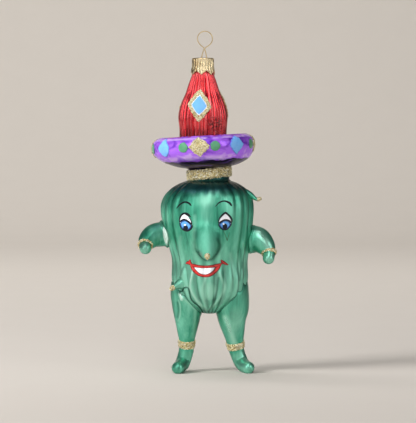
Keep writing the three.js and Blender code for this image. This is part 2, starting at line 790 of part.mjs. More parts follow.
// Wire: one spring-steel length. Its legs spread inside the mouth, cross above the cap and
// close in a round loop.
const wirePass = (wireDiameter + wireCrossingGap) / 2;
const [leftHole, rightHole] = wireHoles;
const wireLeg = (holeAcross, side) => [
  new Vector3(side * wireLegSpread, 0, -wireLegLength),
  new Vector3(side * wireLegSpread, 0, -0.6 * wireLegLength),
  new Vector3(side * 0.92 * wireLegSpread, 0, -0.35 * wireLegLength),
  new Vector3(holeAcross, 0, -capSheet / 2),
  new Vector3(wireCrossing.across, -side * wirePass, wireCrossing.height),
];
const loopPoints = Array.from({ length: loopSteps + 1 }, (_, i) => {
  const turn = MathUtils.degToRad(MathUtils.lerp(-46, 226, i / loopSteps));
  return new Vector3(
    loopCentre.across + loopRadius * Math.cos(turn),
    MathUtils.lerp(wirePass, -wirePass, i / loopSteps),
    loopCentre.height + loopRadius * Math.sin(turn),
  );
});
const wirePath = new CatmullRomCurve3(
  [...wireLeg(leftHole, -1), ...loopPoints, ...wireLeg(rightHole, 1).reverse()],
  false,
  'centripetal',
);
const wireSection = new Shape().absarc(0, 0, wireDiameter / 2, 0, 2 * Math.PI);
const wireGeometry = new ExtrudeGeometry(wireSection, {
  steps: 64,
  curveSegments: 3,
  extrudePath: wirePath,
});
addMesh(hangerGroup, 'hanger_wire', closedSkin(wireGeometry), goldWire);

// The origin is the middle of the footprint, on the floor.
root.updateMatrixWorld(true);
const bounds = new Box3().setFromObject(root, true);
const middle = bounds.getCenter(new Vector3());
root.position.set(-middle.x, -middle.y, 0);

export default root;
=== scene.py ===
"""A blown-glass cactus figure in a wide hat, hand-painted and dressed for a studio picture.

Sizes are millimetres in the drawing's own frame: +Z up, the figure faces -Y, left is -X. Meshes
are moved into the row's frame, in metres, as they are made.
"""

from __future__ import annotations

import logging
import math
import random
from dataclasses import dataclass, field
from enum import Enum
from typing import Callable, Sequence

import bpy
import numpy as np
from mathutils import Matrix, Vector
from mathutils.bvhtree import BVHTree

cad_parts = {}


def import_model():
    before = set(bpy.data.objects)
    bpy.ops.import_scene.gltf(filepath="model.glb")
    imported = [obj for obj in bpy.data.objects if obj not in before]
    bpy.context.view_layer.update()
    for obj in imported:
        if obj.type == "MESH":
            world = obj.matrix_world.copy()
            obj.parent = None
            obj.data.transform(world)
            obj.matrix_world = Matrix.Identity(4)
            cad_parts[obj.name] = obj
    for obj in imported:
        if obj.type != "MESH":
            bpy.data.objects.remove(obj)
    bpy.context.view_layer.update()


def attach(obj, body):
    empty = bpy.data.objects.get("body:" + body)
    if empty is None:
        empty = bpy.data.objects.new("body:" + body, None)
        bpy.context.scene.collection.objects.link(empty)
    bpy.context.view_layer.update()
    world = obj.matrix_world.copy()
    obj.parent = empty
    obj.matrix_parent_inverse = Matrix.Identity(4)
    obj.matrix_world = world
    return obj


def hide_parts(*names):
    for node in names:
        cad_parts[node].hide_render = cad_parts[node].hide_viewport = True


LOG = logging.getLogger("cactus_ornament")
METRE = 0.001
SHIFT = np.array([-0.5498, 1.9162, 0.0])  # from the drawing's axis to the middle of the footprint
SEAM = 0.3  # gap that the frame leaves between pieces that are fused or painted on

NUDGE = 1e-4  # the share of a line over which its direction is taken
TIP_RINGS = 12  # rings of points on a round tip
OUTLINE_STEPS = 3000  # samples of an outline that is read by height
LENGTH_STEPS = 400  # samples of a path that is measured
LINE_STEPS = 40  # points along a crease or a brush stroke
CROWN_RINGS = 210  # rings up the crown
BAND_ROWS = 15  # points across the glitter band of the hat
CAP_RINGS = 40  # rings down the skirt of the cap
WIRE_RINGS = 420  # rings along the wire

Array = np.ndarray
Colour = tuple[float, float, float, float]
Floats = Sequence[float]
Spot = tuple[float, float]
Stroke = Sequence[tuple[float, float, float]]  # (across, height, width) along a brush stroke
Surface = Callable[[Array, Array, Array], Array]
Material = bpy.types.Material
Object = bpy.types.Object
Socket = bpy.types.NodeSocket


def paint(red: int, green: int, blue: int) -> Colour:
    """A linear colour from display values of 0 to 255.

    Args:
        red: How red.
        green: How green.
        blue: How blue.

    Returns:
        The opaque colour.
    """

    def linear(value: float) -> float:
        """One display value, made linear."""
        value /= 255
        return value / 12.92 if value <= 0.04045 else ((value + 0.055) / 1.055) ** 2.4

    return (linear(red), linear(green), linear(blue), 1.0)


def lerp(a: float | Array, b: float | Array, share: float | Array) -> Array:
    """A value between a and b."""
    return a + (b - a) * share


def smooth(value: float | Array, low: float, high: float) -> Array:
    """0 below low, 1 above high and a soft step between."""
    share = np.clip((np.asarray(value, float) - low) / (high - low), 0, 1)
    return share * share * (3 - 2 * share)


def unit(vectors: Array) -> Array:
    """The vectors, each one long."""
    return vectors / np.maximum(np.linalg.norm(vectors, axis=-1, keepdims=True), 1e-12)


def around(count: int) -> Array:
    """Even steps of one full turn."""
    return np.linspace(0, 2 * math.pi, count, endpoint=False)


def lathed(reach: Array, turn: Array, z: Array, shift: float | Array = 0.0) -> Array:
    """Points round an upright axis.

    Args:
        reach: How far from the axis.
        turn: The angle from the front, towards the right.
        z: How high.
        shift: How far sideways the axis stands.

    Returns:
        (rings, slices, 3) points.
    """
    x = reach * np.sin(turn) + shift
    return np.stack([x, -reach * np.cos(turn), np.broadcast_to(z, x.shape)], 2)


def spline(start: Array, end: Array, leave: Array, arrive: Array, share: Array) -> Array:
    """Points on cubic curves.

    Args:
        start: Where each curve starts.
        end: Where it ends.
        leave: Its slope at the start.
        arrive: Its slope at the end.
        share: How far along it the point is.

    Returns:
        The points.
    """
    cubic = 2 * start - 2 * end + leave + arrive
    square = -3 * start + 3 * end - 2 * leave - arrive
    return cubic * share**3 + square * share**2 + leave * share + start


def direction(line: Outline | Path, t: float | Array) -> Array:
    """Directions at shares of a line."""
    t = np.atleast_1d(np.asarray(t, float))
    return unit(line.at(np.clip(t + NUDGE, 0, 1)) - line.at(np.clip(t - NUDGE, 0, 1)))


class Body(str, Enum):
    """The bodies that pieces ride on."""

    GLASS = "glass"
    CAP = "cap"
    HANGER = "hanger"


class Side(Enum):
    """Left and right of someone who looks at the figure."""

    LEFT = -1
    RIGHT = 1


class Outline:
    """A smooth profile of radius against height."""

    def __init__(self, points: Sequence[Floats]) -> None:
        """Keeps the points.

        Args:
            points: (radius, height) pairs, from the bottom up.
        """
        self.points = np.array(points, float)
        self.samples = np.linspace(0, 1, OUTLINE_STEPS)
        self.heights = self.at(self.samples)[:, 1]

    def at(self, t: float | Array) -> Array:
        """Points at shares of the outline.

        Args:
            t: Shares from 0 to 1.

        Returns:
            (radius, height) for each.
        """
        last = len(self.points) - 1
        place = np.clip(np.atleast_1d(np.asarray(t, float)), 0, 1) * last
        start = np.floor(place).astype(int)
        w = (place - start)[:, None]
        before, here, after, beyond = (
            self.points[np.clip(start + step, 0, last)] for step in (-1, 0, 1, 2)
        )
        return spline(here, after, (after - before) / 2, (beyond - here) / 2, w)

    def offset(self, t: float | Array, out: float | Array = 0) -> tuple[Array, Array]:
        """Points moved outward.

        Args:
            t: Shares from 0 to 1.
            out: How far outward.

        Returns:
            The radii and the heights.
        """
        tangent = direction(self, t)
        point = self.at(t)
        return point[:, 0] + tangent[:, 1] * out, point[:, 1] - tangent[:, 0] * out

    def where(self, height: float | Array) -> Array:
        """The shares at which a rising outline passes these heights."""
        return np.interp(height, self.heights, self.samples)


class Path:
    """A smooth line through points in space."""

    def __init__(self, points: Sequence[Floats]) -> None:
        """Keeps the points, with one more beyond each end."""
        inner = np.array(points, float)
        self.count = len(inner)
        self.points = np.vstack([2 * inner[0] - inner[1], inner, 2 * inner[-1] - inner[-2]])

    def at(self, t: float | Array) -> Array:
        """Points at shares of the path.

        Args:
            t: Shares from 0 to 1.

        Returns:
            The points.
        """
        place = np.clip(np.atleast_1d(np.asarray(t, float)), 0, 1) * (self.count - 1)
        start = np.minimum(np.floor(place).astype(int), self.count - 2)
        w = (place - start)[:, None]
        p0, p1, p2, p3 = (self.points[start + step] for step in range(4))
        d0, d1, d2 = (
            np.sqrt(np.linalg.norm(b - a, axis=1))[:, None]
            for a, b in ((p0, p1), (p1, p2), (p2, p3))
        )
        d0 = np.where(d0 < 1e-4, d1, d0)
        d2 = np.where(d2 < 1e-4, d1, d2)
        m1 = ((p1 - p0) / d0 - (p2 - p0) / (d0 + d1) + (p2 - p1) / d1) * d1
        m2 = ((p2 - p1) / d1 - (p3 - p1) / (d1 + d2) + (p3 - p2) / d2) * d1
        return spline(p1, p2, m1, m2, w)

    def length(self) -> float:
        """How long the path is."""
        steps = np.diff(self.at(np.linspace(0, 1, LENGTH_STEPS)), axis=0)
        return float(np.linalg.norm(steps, axis=1).sum())


def placed(points: Array, matrix: Matrix | None = None) -> Array:
    """Points of the drawing, in the row's frame.

    Args:
        points: (..., 3) in millimetres.
        matrix: A sub-assembly's own frame, where it has one.

    Returns:
        The points in metres.
    """
    if matrix is not None:
        m = np.array(matrix)
        points = points @ m[:3, :3].T + m[:3, 3]
    return (points + SHIFT) * METRE


@dataclass
class Skin:
    """Rings of points that are skinned in order into one closed surface."""

    grid: Array
    joined: bool = False
    fields: dict[str, Array] = field(default_factory=dict)

    def faces(self, rows: slice | None = None) -> Array:
        """The four corners of each face.

        Args:
            rows: The rings to take, or None for all.

        Returns:
            Vertex numbers, four to a row.
        """
        rings, slices = self.grid.shape[:2]
        last = rings if self.joined else rings - 1
        starts = np.arange(last)[rows] if rows is not None else np.arange(last)
        i, j = np.meshgrid(starts, np.arange(slices), indexing="ij")
        up, turn = (i + 1) % rings, (j + 1) % slices
        corners = [i * slices + j, i * slices + turn, up * slices + turn, up * slices + j]
        return np.stack([c.ravel() for c in corners], 1)

    def build(self, name: str, matrix: Matrix | None = None, extra: Extra | None = None) -> Object:
        """Makes the mesh.

        Args:
            name: The piece's name.
            matrix: A sub-assembly's own frame, where it has one.
            extra: Loose closed forms that belong to the same piece.

        Returns:
            The new object, smooth shaded apart from the loose forms.
        """
        rings, slices = self.grid.shape[:2]
        points = placed(self.grid.reshape(-1, 3), matrix)
        faces = self.faces().tolist()
        values = {key: np.asarray(value, float).ravel() for key, value in self.fields.items()}
        for row in () if self.joined else (0, rings - 1):
            ring = np.arange(row * slices, (row + 1) * slices)
            hub = len(points)
            points = np.vstack([points, points[ring].mean(0)])
            values = {key: np.append(value, value[ring].mean()) for key, value in values.items()}
            pairs = zip(ring, np.roll(ring, -1))
            faces += [(b, a, hub) if row == 0 else (a, b, hub) for a, b in pairs]
        if volume_of(points, faces) < 0:
            faces = [tuple(reversed(face)) for face in faces]
        start = len(points)
        if extra is not None:
            points = np.vstack([points, placed(extra.points, matrix)])
            faces += (extra.faces + start).tolist()
            none, blank = np.zeros(start), np.zeros(len(extra.points))
            values = {
                key: np.append(values.get(key, none), extra.fields.get(key, blank))
                for key in {**values, **extra.fields}
            }
        return new_object(name, points, faces, values, flat_from=start)


@dataclass
class Extra:
    """Loose closed forms, such as flakes of glitter, as points, faces and values at the points."""

    points: Array
    faces: Array
    fields: dict[str, Array] = field(default_factory=dict)

    @classmethod
    def of(cls, forms: Sequence[Extra]) -> Extra:
        """Several loose forms as one.

        Args:
            forms: The forms, with the same fields.

        Returns:
            The one form.
        """
        starts = np.cumsum([0, *(len(form.points) for form in forms)])
        faces = [form.faces + start for form, start in zip(forms, starts)]
        fields = {
            key: np.concatenate([form.fields[key] for form in forms]) for key in forms[0].fields
        }
        return cls(np.vstack([form.points for form in forms]), np.vstack(faces), fields)


def volume_of(points: Array, faces: Sequence[Sequence[int]]) -> float:
    """Six times the volume inside faces that point outward.

    Args:
        points: Places.
        faces: Vertex numbers of each face.

    Returns:
        The volume, times six.
    """
    total = 0.0
    for size in {len(face) for face in faces}:
        corners = points[np.array([face for face in faces if len(face) == size])]
        for k in range(1, size - 1):
            crossed = np.cross(corners[:, k], corners[:, k + 1])
            total += float(np.einsum("ij,ij->", corners[:, 0], crossed))
    return total


def new_object(
    name: str,
    points: Array,
    faces: Sequence[Sequence[int]],
    fields: dict[str, Array] | None = None,
    flat_from: int | None = None,
) -> Object:
    """A mesh object in the scene.

    Args:
        name: Its name.
        points: Places in metres.
        faces: Vertex numbers of each face. A number that comes twice counts once.
        fields: Values at the points, which materials read by name.
        flat_from: The first point of the forms that are flat, or None for smooth all over.

    Returns:
        The object.
    """
    mesh = bpy.data.meshes.new(name)
    faces = [tuple(dict.fromkeys(face)) for face in faces]
    mesh.from_pydata(points.tolist(), [], faces)
    mesh.shade_smooth()
    if flat_from is not None:
        mesh.polygons.foreach_set("use_smooth", [min(face) < flat_from for face in faces])
    for key, value in (fields or {}).items():
        made = mesh.attributes.new(key, "FLOAT", "POINT")
        made.data.foreach_set("value", np.asarray(value, np.float32))
    mesh.update()
    obj = bpy.data.objects.new(name, mesh)
    bpy.context.scene.collection.objects.link(obj)
    return obj


def dress(
    obj: Object,
    material: Material,
    body: Body,
    nodes: Sequence[str] = (),
) -> Object:
    """Gives a piece its material and its place in the frame.

    Args:
        obj: The piece.
        material: Its finish.
        body: The body that it rides on.
        nodes: The CAD nodes that it stands for.

    Returns:
        The piece.
    """
    obj.data.materials.append(material)
    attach(obj, body.value)
    if nodes:
        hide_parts(*nodes)
    count = len(obj.data.polygons)
    LOG.info("%s: %d faces, stands for %s", obj.name, count, list(nodes) or "paint")
    return obj


class Value:
    """A number that changes over a surface. Operators add the Math nodes."""

    def __init__(self, net: Net, socket: Socket) -> None:
        """Wraps a socket of a net."""
        self.net = net
        self.socket = socket

    def _math(self, operation: str, first: Value | float, second: Value | float = 0.0) -> Value:
        """A Math node on two values."""
        node = self.net.add("ShaderNodeMath", {"operation": operation}, {0: first, 1: second})
        return Value(self.net, node.outputs[0])

    def __add__(self, other: Value | float) -> Value:
        """self + other"""
        return self._math("ADD", self, other)

    def __radd__(self, other: float) -> Value:
        """other + self"""
        return self._math("ADD", other, self)

    def __sub__(self, other: Value | float) -> Value:
        """self - other"""
        return self._math("SUBTRACT", self, other)

    def __rsub__(self, other: float) -> Value:
        """other - self"""
        return self._math("SUBTRACT", other, self)

    def __mul__(self, other: Value | float) -> Value:
        """self * other"""
        return self._math("MULTIPLY", self, other)

    def __rmul__(self, other: float) -> Value:
        """other * self"""
        return self._math("MULTIPLY", other, self)

    def __or__(self, other: Value | float) -> Value:
        """The larger of the two."""
        return self._math("MAXIMUM", self, other)

    def step(self, low: float, high: float) -> Value:
        """0 below low, 1 above high and a soft step between. low may be above high."""
        ends = {"Value": self, "From Min": low, "From Max": high, "To Min": 0.0, "To Max": 1.0}
        node = self.net.add("ShaderNodeMapRange", {"interpolation_type": "SMOOTHSTEP"}, ends)
        return Value(self.net, node.outputs["Result"])


class Net:
    """A material's node tree round one principled shader."""

    def __init__(self, name: str, **constants: float | Colour) -> None:
        """Starts the material.

        Args:
            name: The material's name.
            constants: What is the same all over, by the shader's socket names with _ for a space.
        """
        self.material = bpy.data.materials.new(name)
        self.material.use_nodes = True
        self.tree = self.material.node_tree
        self.tree.nodes.clear()
        sockets = {key.replace("_", " "): value for key, value in constants.items()}
        self.shader = self.add("ShaderNodeBsdfPrincipled", None, sockets)
        self.add("ShaderNodeOutputMaterial", None, {"Surface": self.shader.outputs["BSDF"]})
        self.coordinates = self.add("ShaderNodeTexCoord").outputs["Object"]

    def add(
        self,
        kind: str,
        settings: dict[str, object] | None = None,
        sockets: dict[str | int, object] | None = None,
    ) -> bpy.types.Node:
        """Adds any node.

        Args:
            kind: The node's type.
            settings: Its properties, set first. "stops" fills a colour ramp.
            sockets: Values or links of its inputs.

        Returns:
            The node.
        """
        node = self.tree.nodes.new(kind)
        for key, value in (settings or {}).items():
            if key == "stops":
                ramp = node.color_ramp.elements
                while len(ramp) < len(value):
                    ramp.new(1.0)
                for element, (place, colour) in zip(ramp, value):
                    element.position = place
                    element.color = colour
            else:
                setattr(node, key, value)
        for key, value in (sockets or {}).items():
            self.feed(node.inputs[key], value)
        return node

    def feed(self, socket: Socket, value: object) -> None:
        """Links a socket, or sets it.

        Args:
            socket: An input.
            value: A value, a link or a constant.
        """
        if isinstance(value, Value):
            value = value.socket
        if isinstance(value, Socket):
            self.tree.links.new(value, socket)
        else:
            socket.default_value = value

    def field(self, name: str) -> Value:
        """A value that the mesh holds at its points."""
        node = self.add("ShaderNodeAttribute", {"attribute_name": name})
        return Value(self, node.outputs["Fac"])

    def places(self, stretch: Floats = (1, 1, 1), shift: Floats = (0, 0, 0)) -> Socket:
        """The object's own coordinates in millimetres, scaled and then moved."""
        scale = [s / METRE for s in stretch]
        sockets = {"Vector": self.coordinates, "Scale": scale, "Location": shift}
        return self.add("ShaderNodeMapping", None, sockets).outputs["Vector"]

    def noise(
        self,
        size: float,
        detail: float = 3.0,
        stretch: Floats = (1, 1, 1),
        rough: float = 0.5,
        warp: float = 0.0,
    ) -> Value:
        """Soft noise.

        Args:
            size: The size of its features, in millimetres.
            detail: How many finer layers it has.
            stretch: The scale on each axis; below 1 draws it out.
            rough: How strong the finer layers are.
            warp: How much it is distorted.

        Returns:
            A value from 0 to 1.
        """
        sockets = {
            "Vector": self.places(stretch),
            "Scale": 1 / size,
            "Detail": detail,
            "Roughness": rough,
            "Distortion": warp,
        }
        return Value(self, self.add("ShaderNodeTexNoise", None, sockets).outputs["Fac"])

    def near(self, centre: Floats, radii: Floats, soft: float = 0.5) -> Value:
        """1 inside an ellipsoid and 0 outside it.

        Args:
            centre: Its middle, in millimetres in the row's frame.
            radii: Its half sizes.
            soft: The share of the radii over which it fades.

        Returns:
            The mask.
        """
        stretch = [1 / r for r in radii]
        shift = [-c / r for c, r in zip(centre, radii)]
        places = {0: self.places(stretch, shift)}
        length = self.add("ShaderNodeVectorMath", {"operation": "LENGTH"}, places)
        return Value(self, length.outputs["Value"]).step(1.0, 1.0 - soft)

    def axis(self, name: str) -> Value:
        """How far along an axis of the row's frame a place lies at rest, in millimetres."""
        node = self.add("ShaderNodeSeparateXYZ", None, {0: self.places()})
        return Value(self, node.outputs[name])

    def ramp(self, factor: Value, stops: Sequence[tuple[float, Colour]]) -> Socket:
        """A colour that follows a value."""
        node = self.add("ShaderNodeValToRGB", {"stops": list(stops)}, {"Fac": factor})
        return node.outputs["Color"]

    def coat(self, colour: object, *coats: tuple[object, Value]) -> Socket:
        """Lays coats of colour over a colour.

        Args:
            colour: What lies under them.
            coats: Each coat's colour, and how much of it shows.

        Returns:
            The colour that shows.
        """
        for paint_over, share in coats:
            sockets = {0: share, 6: colour, 7: paint_over}  # the sockets that a colour mix uses
            colour = self.add("ShaderNodeMix", {"data_type": "RGBA"}, sockets).outputs[2]
        return colour

    def relief(self, height: Value, distance: float) -> None:
        """Raises and lowers the shading by a height.

        Args:
            height: From 0 to 1.
            distance: What 1 stands for, in millimetres.
        """
        node = self.add("ShaderNodeBump", None, {"Height": height, "Distance": distance * METRE})
        self.feed(self.shader.inputs["Normal"], node.outputs["Normal"])

    def drive(self, **sockets: object) -> Material:
        """Feeds what changes over the surface to the shader, and returns the finished material."""
        for key, value in sockets.items():
            self.feed(self.shader.inputs[key.replace("_", " ")], value)
        return self.material


@dataclass(frozen=True)
class PearlLacquer:
    """Green pearl lacquer over silvered glass, satin on the body and glossier on the limbs."""

    name: str
    roughness: float
    paling: float
    gloss: float = 0.5
    mid: Colour = paint(76, 181, 149)
    light: Colour = paint(134, 225, 197)
    deep: Colour = paint(27, 109, 89)
    # pale green: thin paint over silver, and the colour of painted highlights
    thin_paint_and_highlight: Colour = paint(164, 233, 209)
    edge: Colour = paint(34, 76, 84)
    # near-white: bare silver under thin paint, and the colour of painted highlights
    bare: Colour = paint(222, 244, 236)
    # dark blue-green: painted shade across the top of the head, under the hat
    painted_shade_under_hat: Colour = paint(30, 62, 74)
    # near-black green: painted shade in the creases
    groove: Colour = paint(8, 40, 34)
    silvering: Colour = paint(146, 150, 148)
    # paler green on the nose, as painted light
    rubbed_rim_and_lit_nose: Colour = paint(100, 174, 150)

    def make(self) -> Material:
        """The field "seam" marks creases, which get painted shade; the field of bare places marks
        thin paint over silver and painted highlights.

        Returns:
            The material.
        """
        net = Net(self.name, Specular_Tint=self.edge, Coat_Roughness=0.22, Coat_IOR=1.4)
        streaks = net.noise(5.5, 4, (1, 1, 0.16), warp=0.4)
        clouds = net.noise(13, 2, (1, 1, 0.7))
        brush = net.noise(0.9, 2, (1, 1, 0.08))
        seam = net.field("seam")
        bare = net.field("bare")
        fold = net.field("fold")
        # Deeper in a rib's fold the tone is darker, on its crest paler: painted shade and painted
        # highlight.
        tone = streaks * 0.62 + clouds * 0.3 + brush * 0.14 - fold * 0.16
        colour = net.ramp(tone, [(0.34, self.deep), (0.5, self.mid), (0.68, self.light)])
        height = net.axis("Z")
        # Paler paint lower on the torso; painted highlights on the right leg, the forehead and the
        # chin.
        low = height.step(70, 46) * height.step(24, 36) * self.paling
        low = low | (net.near((13.5, -4, 25), (6, 8, 14), 0.8) * 0.45)
        painted_forehead_highlight = net.near((-0.5, -22, 84), (8.5, 9, 6), 0.9) * 0.7
        chin = net.near((0.5, -16, 39), (11, 10, 10), 0.8) * 0.9
        # Painted shade on the upper left arm.
        painted_arm_shade = net.near((-27, -2, 66), (10, 12, 9), 0.7)
        worn = net.near((-2.2, -22.6, 58.4), (2.0, 3.6, 2.0), 0.6)
        # The nose is matt and painted a paler, even green: a matt finish with painted light that
        # lifts the shade on its sides.
        matt_and_lit_nose = net.near((0.3, -25, 65), (8, 11, 12), 0.8)
        colour = net.coat(
            colour,
            (self.thin_paint_and_highlight, (low | painted_forehead_highlight | chin) * (streaks * 1.2 + 0.4)),
            (self.thin_paint_and_highlight, bare.step(0.0, 0.6)),
            (self.bare, bare.step(0.4, 1.0)),
            # Painted shade across the top of the head, under the hat.
            (self.painted_shade_under_hat, height.step(84.5, 89.5) * 0.85),
            # Painted shade in the creases.
            (self.groove, seam * 0.85),
            (self.deep, painted_arm_shade * 0.5),
            (self.silvering, worn * net.noise(1.2, 2).step(0.4, 0.55) * 0.75),
            (self.rubbed_rim_and_lit_nose, matt_and_lit_nose * (1 - seam) * 0.72),
        )
        net.relief(streaks * 0.6 + net.noise(2.2, 3) * 0.25 + brush * 0.15, 0.07)
        rough = net.noise(4, 3, (1, 1, 0.4)) * 0.12 + (self.roughness - 0.06)
        rough = rough + seam * 0.1 - bare * 0.14 + matt_and_lit_nose * 0.2
        silver = 0.85 - bare.step(0.4, 1.0) * 0.45 - matt_and_lit_nose * 0.58
        gloss = (1 - (seam | matt_and_lit_nose)) * self.gloss
        return net.drive(Base_Color=colour, Roughness=rough, Metallic=silver, Coat_Weight=gloss)


@dataclass(frozen=True)
class CrownLacquer:
    """Transparent red lacquer over a silvered, fluted crown, worn low on the right."""

    name: str = "red_lacquer_over_silver"
    bright: Colour = paint(240, 48, 60)
    deep: Colour = paint(140, 4, 18)
    pale: Colour = paint(250, 110, 114)
    line: Colour = paint(92, 0, 12)
    root: Colour = paint(84, 0, 10)
    worn: Colour = paint(52, 22, 26)
    fleck: Colour = paint(190, 180, 180)

    def make(self) -> Material:
        """Paints the flutes, with painted shade in their grooves and a painted highlight high on
        the front.

        Returns:
            The material.
        """
        net = Net(self.name, Metallic=0.85, Coat_Roughness=0.05, Coat_Weight=0.35)
        streaks = net.noise(1.7, 3, (1, 1, 0.05), warp=0.2)
        broad = net.noise(7, 2, (1, 1, 0.5))
        groove = net.field("groove")
        # The grooves are painted darker: painted shade.
        tone = (1 - groove) * 0.38 + streaks * 0.42 + broad * 0.2
        colour = net.ramp(tone, [(0.24, self.deep), (0.46, self.bright), (0.74, self.pale)])
        height = net.axis("Z")
        # A painted highlight high on the front of the crown.
        painted_crown_highlight = net.near((-2.4, -7.5, 137), (3.4, 5.5, 12), 0.9) * (1 - groove)
        lines = net.noise(0.9, 2, (1, 1, 0.04)).step(0.46, 0.58) * height.step(128.0, 113.0)
        patchy = net.noise(2.4, 3, (1, 1, 0.1)).step(0.35, 0.6) * 0.6 + 0.4
        worn = net.near((4.2, -8.6, 119.5), (5.2, 7.5, 5.2), 0.7)
        worn = worn * net.noise(1.1, 4).step(0.44, 0.56)
        colour = net.coat(
            colour,
            (self.pale, painted_crown_highlight * 0.7),
            (self.line, lines * 0.75),
            (self.root, height.step(120.0, 111.0) * patchy * 0.85),
            (self.worn, worn * 0.85),
            (self.fleck, worn * net.noise(0.5, 2).step(0.6, 0.68)),
        )
        net.relief(streaks * 0.6 + net.noise(0.8, 3) * 0.4, 0.015)
        return net.drive(Base_Color=colour, Roughness=net.noise(2.5, 3) * 0.12 + 0.17 + worn * 0.3)


@dataclass(frozen=True)
class BrimLacquer:
    """The brim's paint: violet outside, blue-black underneath as painted shade, and red on top."""

    name: str = "violet_lacquer_over_silver"
    violet: Colour = paint(176, 108, 252)
    lilac: Colour = paint(220, 184, 255)
    plum: Colour = paint(112, 52, 196)
    navy: Colour = paint(22, 14, 36)
    red: Colour = paint(176, 22, 34)
    haze: Colour = paint(96, 66, 150)
    rubbed_rim_and_lit_nose: Colour = paint(150, 34, 78)

    def make(self) -> Material:
        """The field "level" is the height above the seat, "inner" the gutter.

        Returns:
            The material.
        """
        net = Net(self.name, Specular_IOR_Level=0.12, Specular_Tint=self.lilac, Coat_Roughness=0.05)
        brush = net.noise(4.5, 3, (0.7, 0.7, 1.3), warp=0.8)
        broad = net.noise(8, 2)
        level = net.field("level")
        tone = brush * 0.75 + broad * 0.3 + level.step(15, 5) * 0.14 - 0.1
        stops = [(0.34, self.plum), (0.48, self.violet), (0.6, self.violet), (0.74, self.lilac)]
        violet = net.ramp(tone, stops)
        # Paler lilac bands low on the brim and along its top: painted highlights.
        painted_lower_highlight = level.step(4.4, 5.0) * level.step(7.4, 5.6) * net.noise(6, 2).step(0.42, 0.58)
        crest = level.step(14.2, 14.8) * level.step(15.6, 15.0) * net.noise(5, 2).step(0.4, 0.55)
        # Near-black underneath, where the violet ends: painted shade and painted dark reflection
        # under the brim.
        under = (level + (net.noise(5, 3) * 2.6 - 1.3)).step(4.5, 4.1)
        streak = net.noise(3, 3, (0.3, 1, 1)).step(0.52, 0.66)
        navy = net.coat(self.navy, (self.haze, streak * 0.7))
        inner = (net.field("inner") + (net.noise(1.6, 3) * 0.14 - 0.07)).step(0.46, 0.54)
        worn = level.step(15.2, 16.0) * net.noise(2.2, 3).step(0.4, 0.56)
        colour = net.coat(
            violet,
            (self.lilac, (painted_lower_highlight | crest) * 0.75),
            (self.rubbed_rim_and_lit_nose, worn * 0.8),
            (navy, under),
            (self.red, inner),
        )
        net.relief(brush * 0.6 + net.noise(1.6, 2) * 0.4, 0.08)
        rough = brush * 0.12 + 0.16 + under * 0.12
        silver = (1 - under) * 0.4
        gloss = silver + 0.1
        return net.drive(Base_Color=colour, Roughness=rough, Metallic=silver, Coat_Weight=gloss)


@dataclass(frozen=True)
class Glitter:
    """Coarse gold glitter: flakes that lie at all angles in a film of glue."""

    name: str = "gold_glitter_flakes"

    def make(self) -> Material:
        """The field "flake" is 0 on the glue and differs from flake to flake.

        Returns:
            The material.
        """
        net = Net(self.name, Metallic=0.5, Specular_Tint=paint(255, 240, 200))
        flake = net.field("flake") + (net.noise(0.25, 1) - 0.5) * 0.06
        glue = [(0.0, paint(190, 174, 122)), (0.1, paint(204, 188, 136))]
        dull = [(0.14, paint(60, 52, 28)), (0.24, paint(140, 122, 72))]
        lit = [(0.38, paint(222, 208, 156)), (0.66, paint(245, 236, 196))]
        colour = net.ramp(flake, [*glue, *dull, *lit, (1.0, paint(255, 255, 246))])
        net.relief(net.noise(0.3, 2), 0.04)
        return net.drive(Base_Color=colour, Roughness=0.48 - flake * 0.24)


@dataclass(frozen=True)
class Enamel:
    """Thick hand-brushed enamel in one colour, paler or darker at its edge."""

    name: str
    colour: Colour
    shade: Colour
    rim: Colour
    rim_share: float
    roughness: float = 0.34
    rim_from: float = 0.86
    gloss: float = 0.25

    def make(self) -> Material:
        """The field "edge" runs from 0 in the middle of a patch to 1 at its edge.

        Returns:
            The material.
        """
        net = Net(self.name, Specular_IOR_Level=0.35, Coat_Weight=self.gloss, Coat_Roughness=0.2)
        brush = net.noise(1.4, 4, (1, 1, 0.5), warp=0.6)
        ragged = net.field("edge") + (net.noise(1.5, 2) - 0.5) * 0.12
        edge = ragged.step(self.rim_from, self.rim_from + 0.09)
        shaded = (self.shade, brush.step(0.4, 0.72) * 0.5)
        colour = net.coat(self.colour, shaded, (self.rim, edge * self.rim_share))
        net.relief(brush * 0.7 + net.noise(0.5, 2) * 0.3, 0.05)
        return net.drive(Base_Color=colour, Roughness=brush * 0.16 + (self.roughness - 0.08))


@dataclass(frozen=True)
class GiltMetal:
    """Thin gilt metal, crinkled where it was stamped."""

    name: str
    colour: Colour
    shade: Colour
    roughness: float
    crease: float

    def make(self) -> Material:
        """Crinkles the metal.

        Returns:
            The material.
        """
        net = Net(self.name, Metallic=1.0, Specular_Tint=paint(255, 246, 224))
        tarnish = net.noise(2.2, 4, (1, 1, 0.35))
        colour = net.coat(self.colour, (self.shade, tarnish.step(0.5, 0.75) * 0.7))
        creases = net.noise(0.45, 2, (1, 1, 0.25)) * 0.6 + net.noise(0.25, 2) * 0.4
        net.relief(creases, self.crease)
        return net.drive(Base_Color=colour, Roughness=tarnish * 0.16 + (self.roughness - 0.08))


@dataclass(frozen=True)
class StudioPaper:
    """The seamless paper that the ornament stands on and before."""

    name: str = "studio_paper"
    front: Colour = paint(188, 182, 176)
    near: Colour = paint(200, 194, 188)
    far: Colour = paint(231, 224, 216)
    fibre: Colour = paint(150, 143, 135)

    def make(self) -> Material:
        """Shades the paper from front to back.

        Returns:
            The material.
        """
        net = Net(self.name, Roughness=0.9)
        depth = net.axis("Y")
        colour = net.coat(
            self.front,
            (self.near, depth.step(-220.0, 60.0)),
            (self.far, depth.step(50.0, 850.0)),
            (self.fibre, net.noise(30, 4) * 0.05),
        )
        return net.drive(Base_Color=colour)


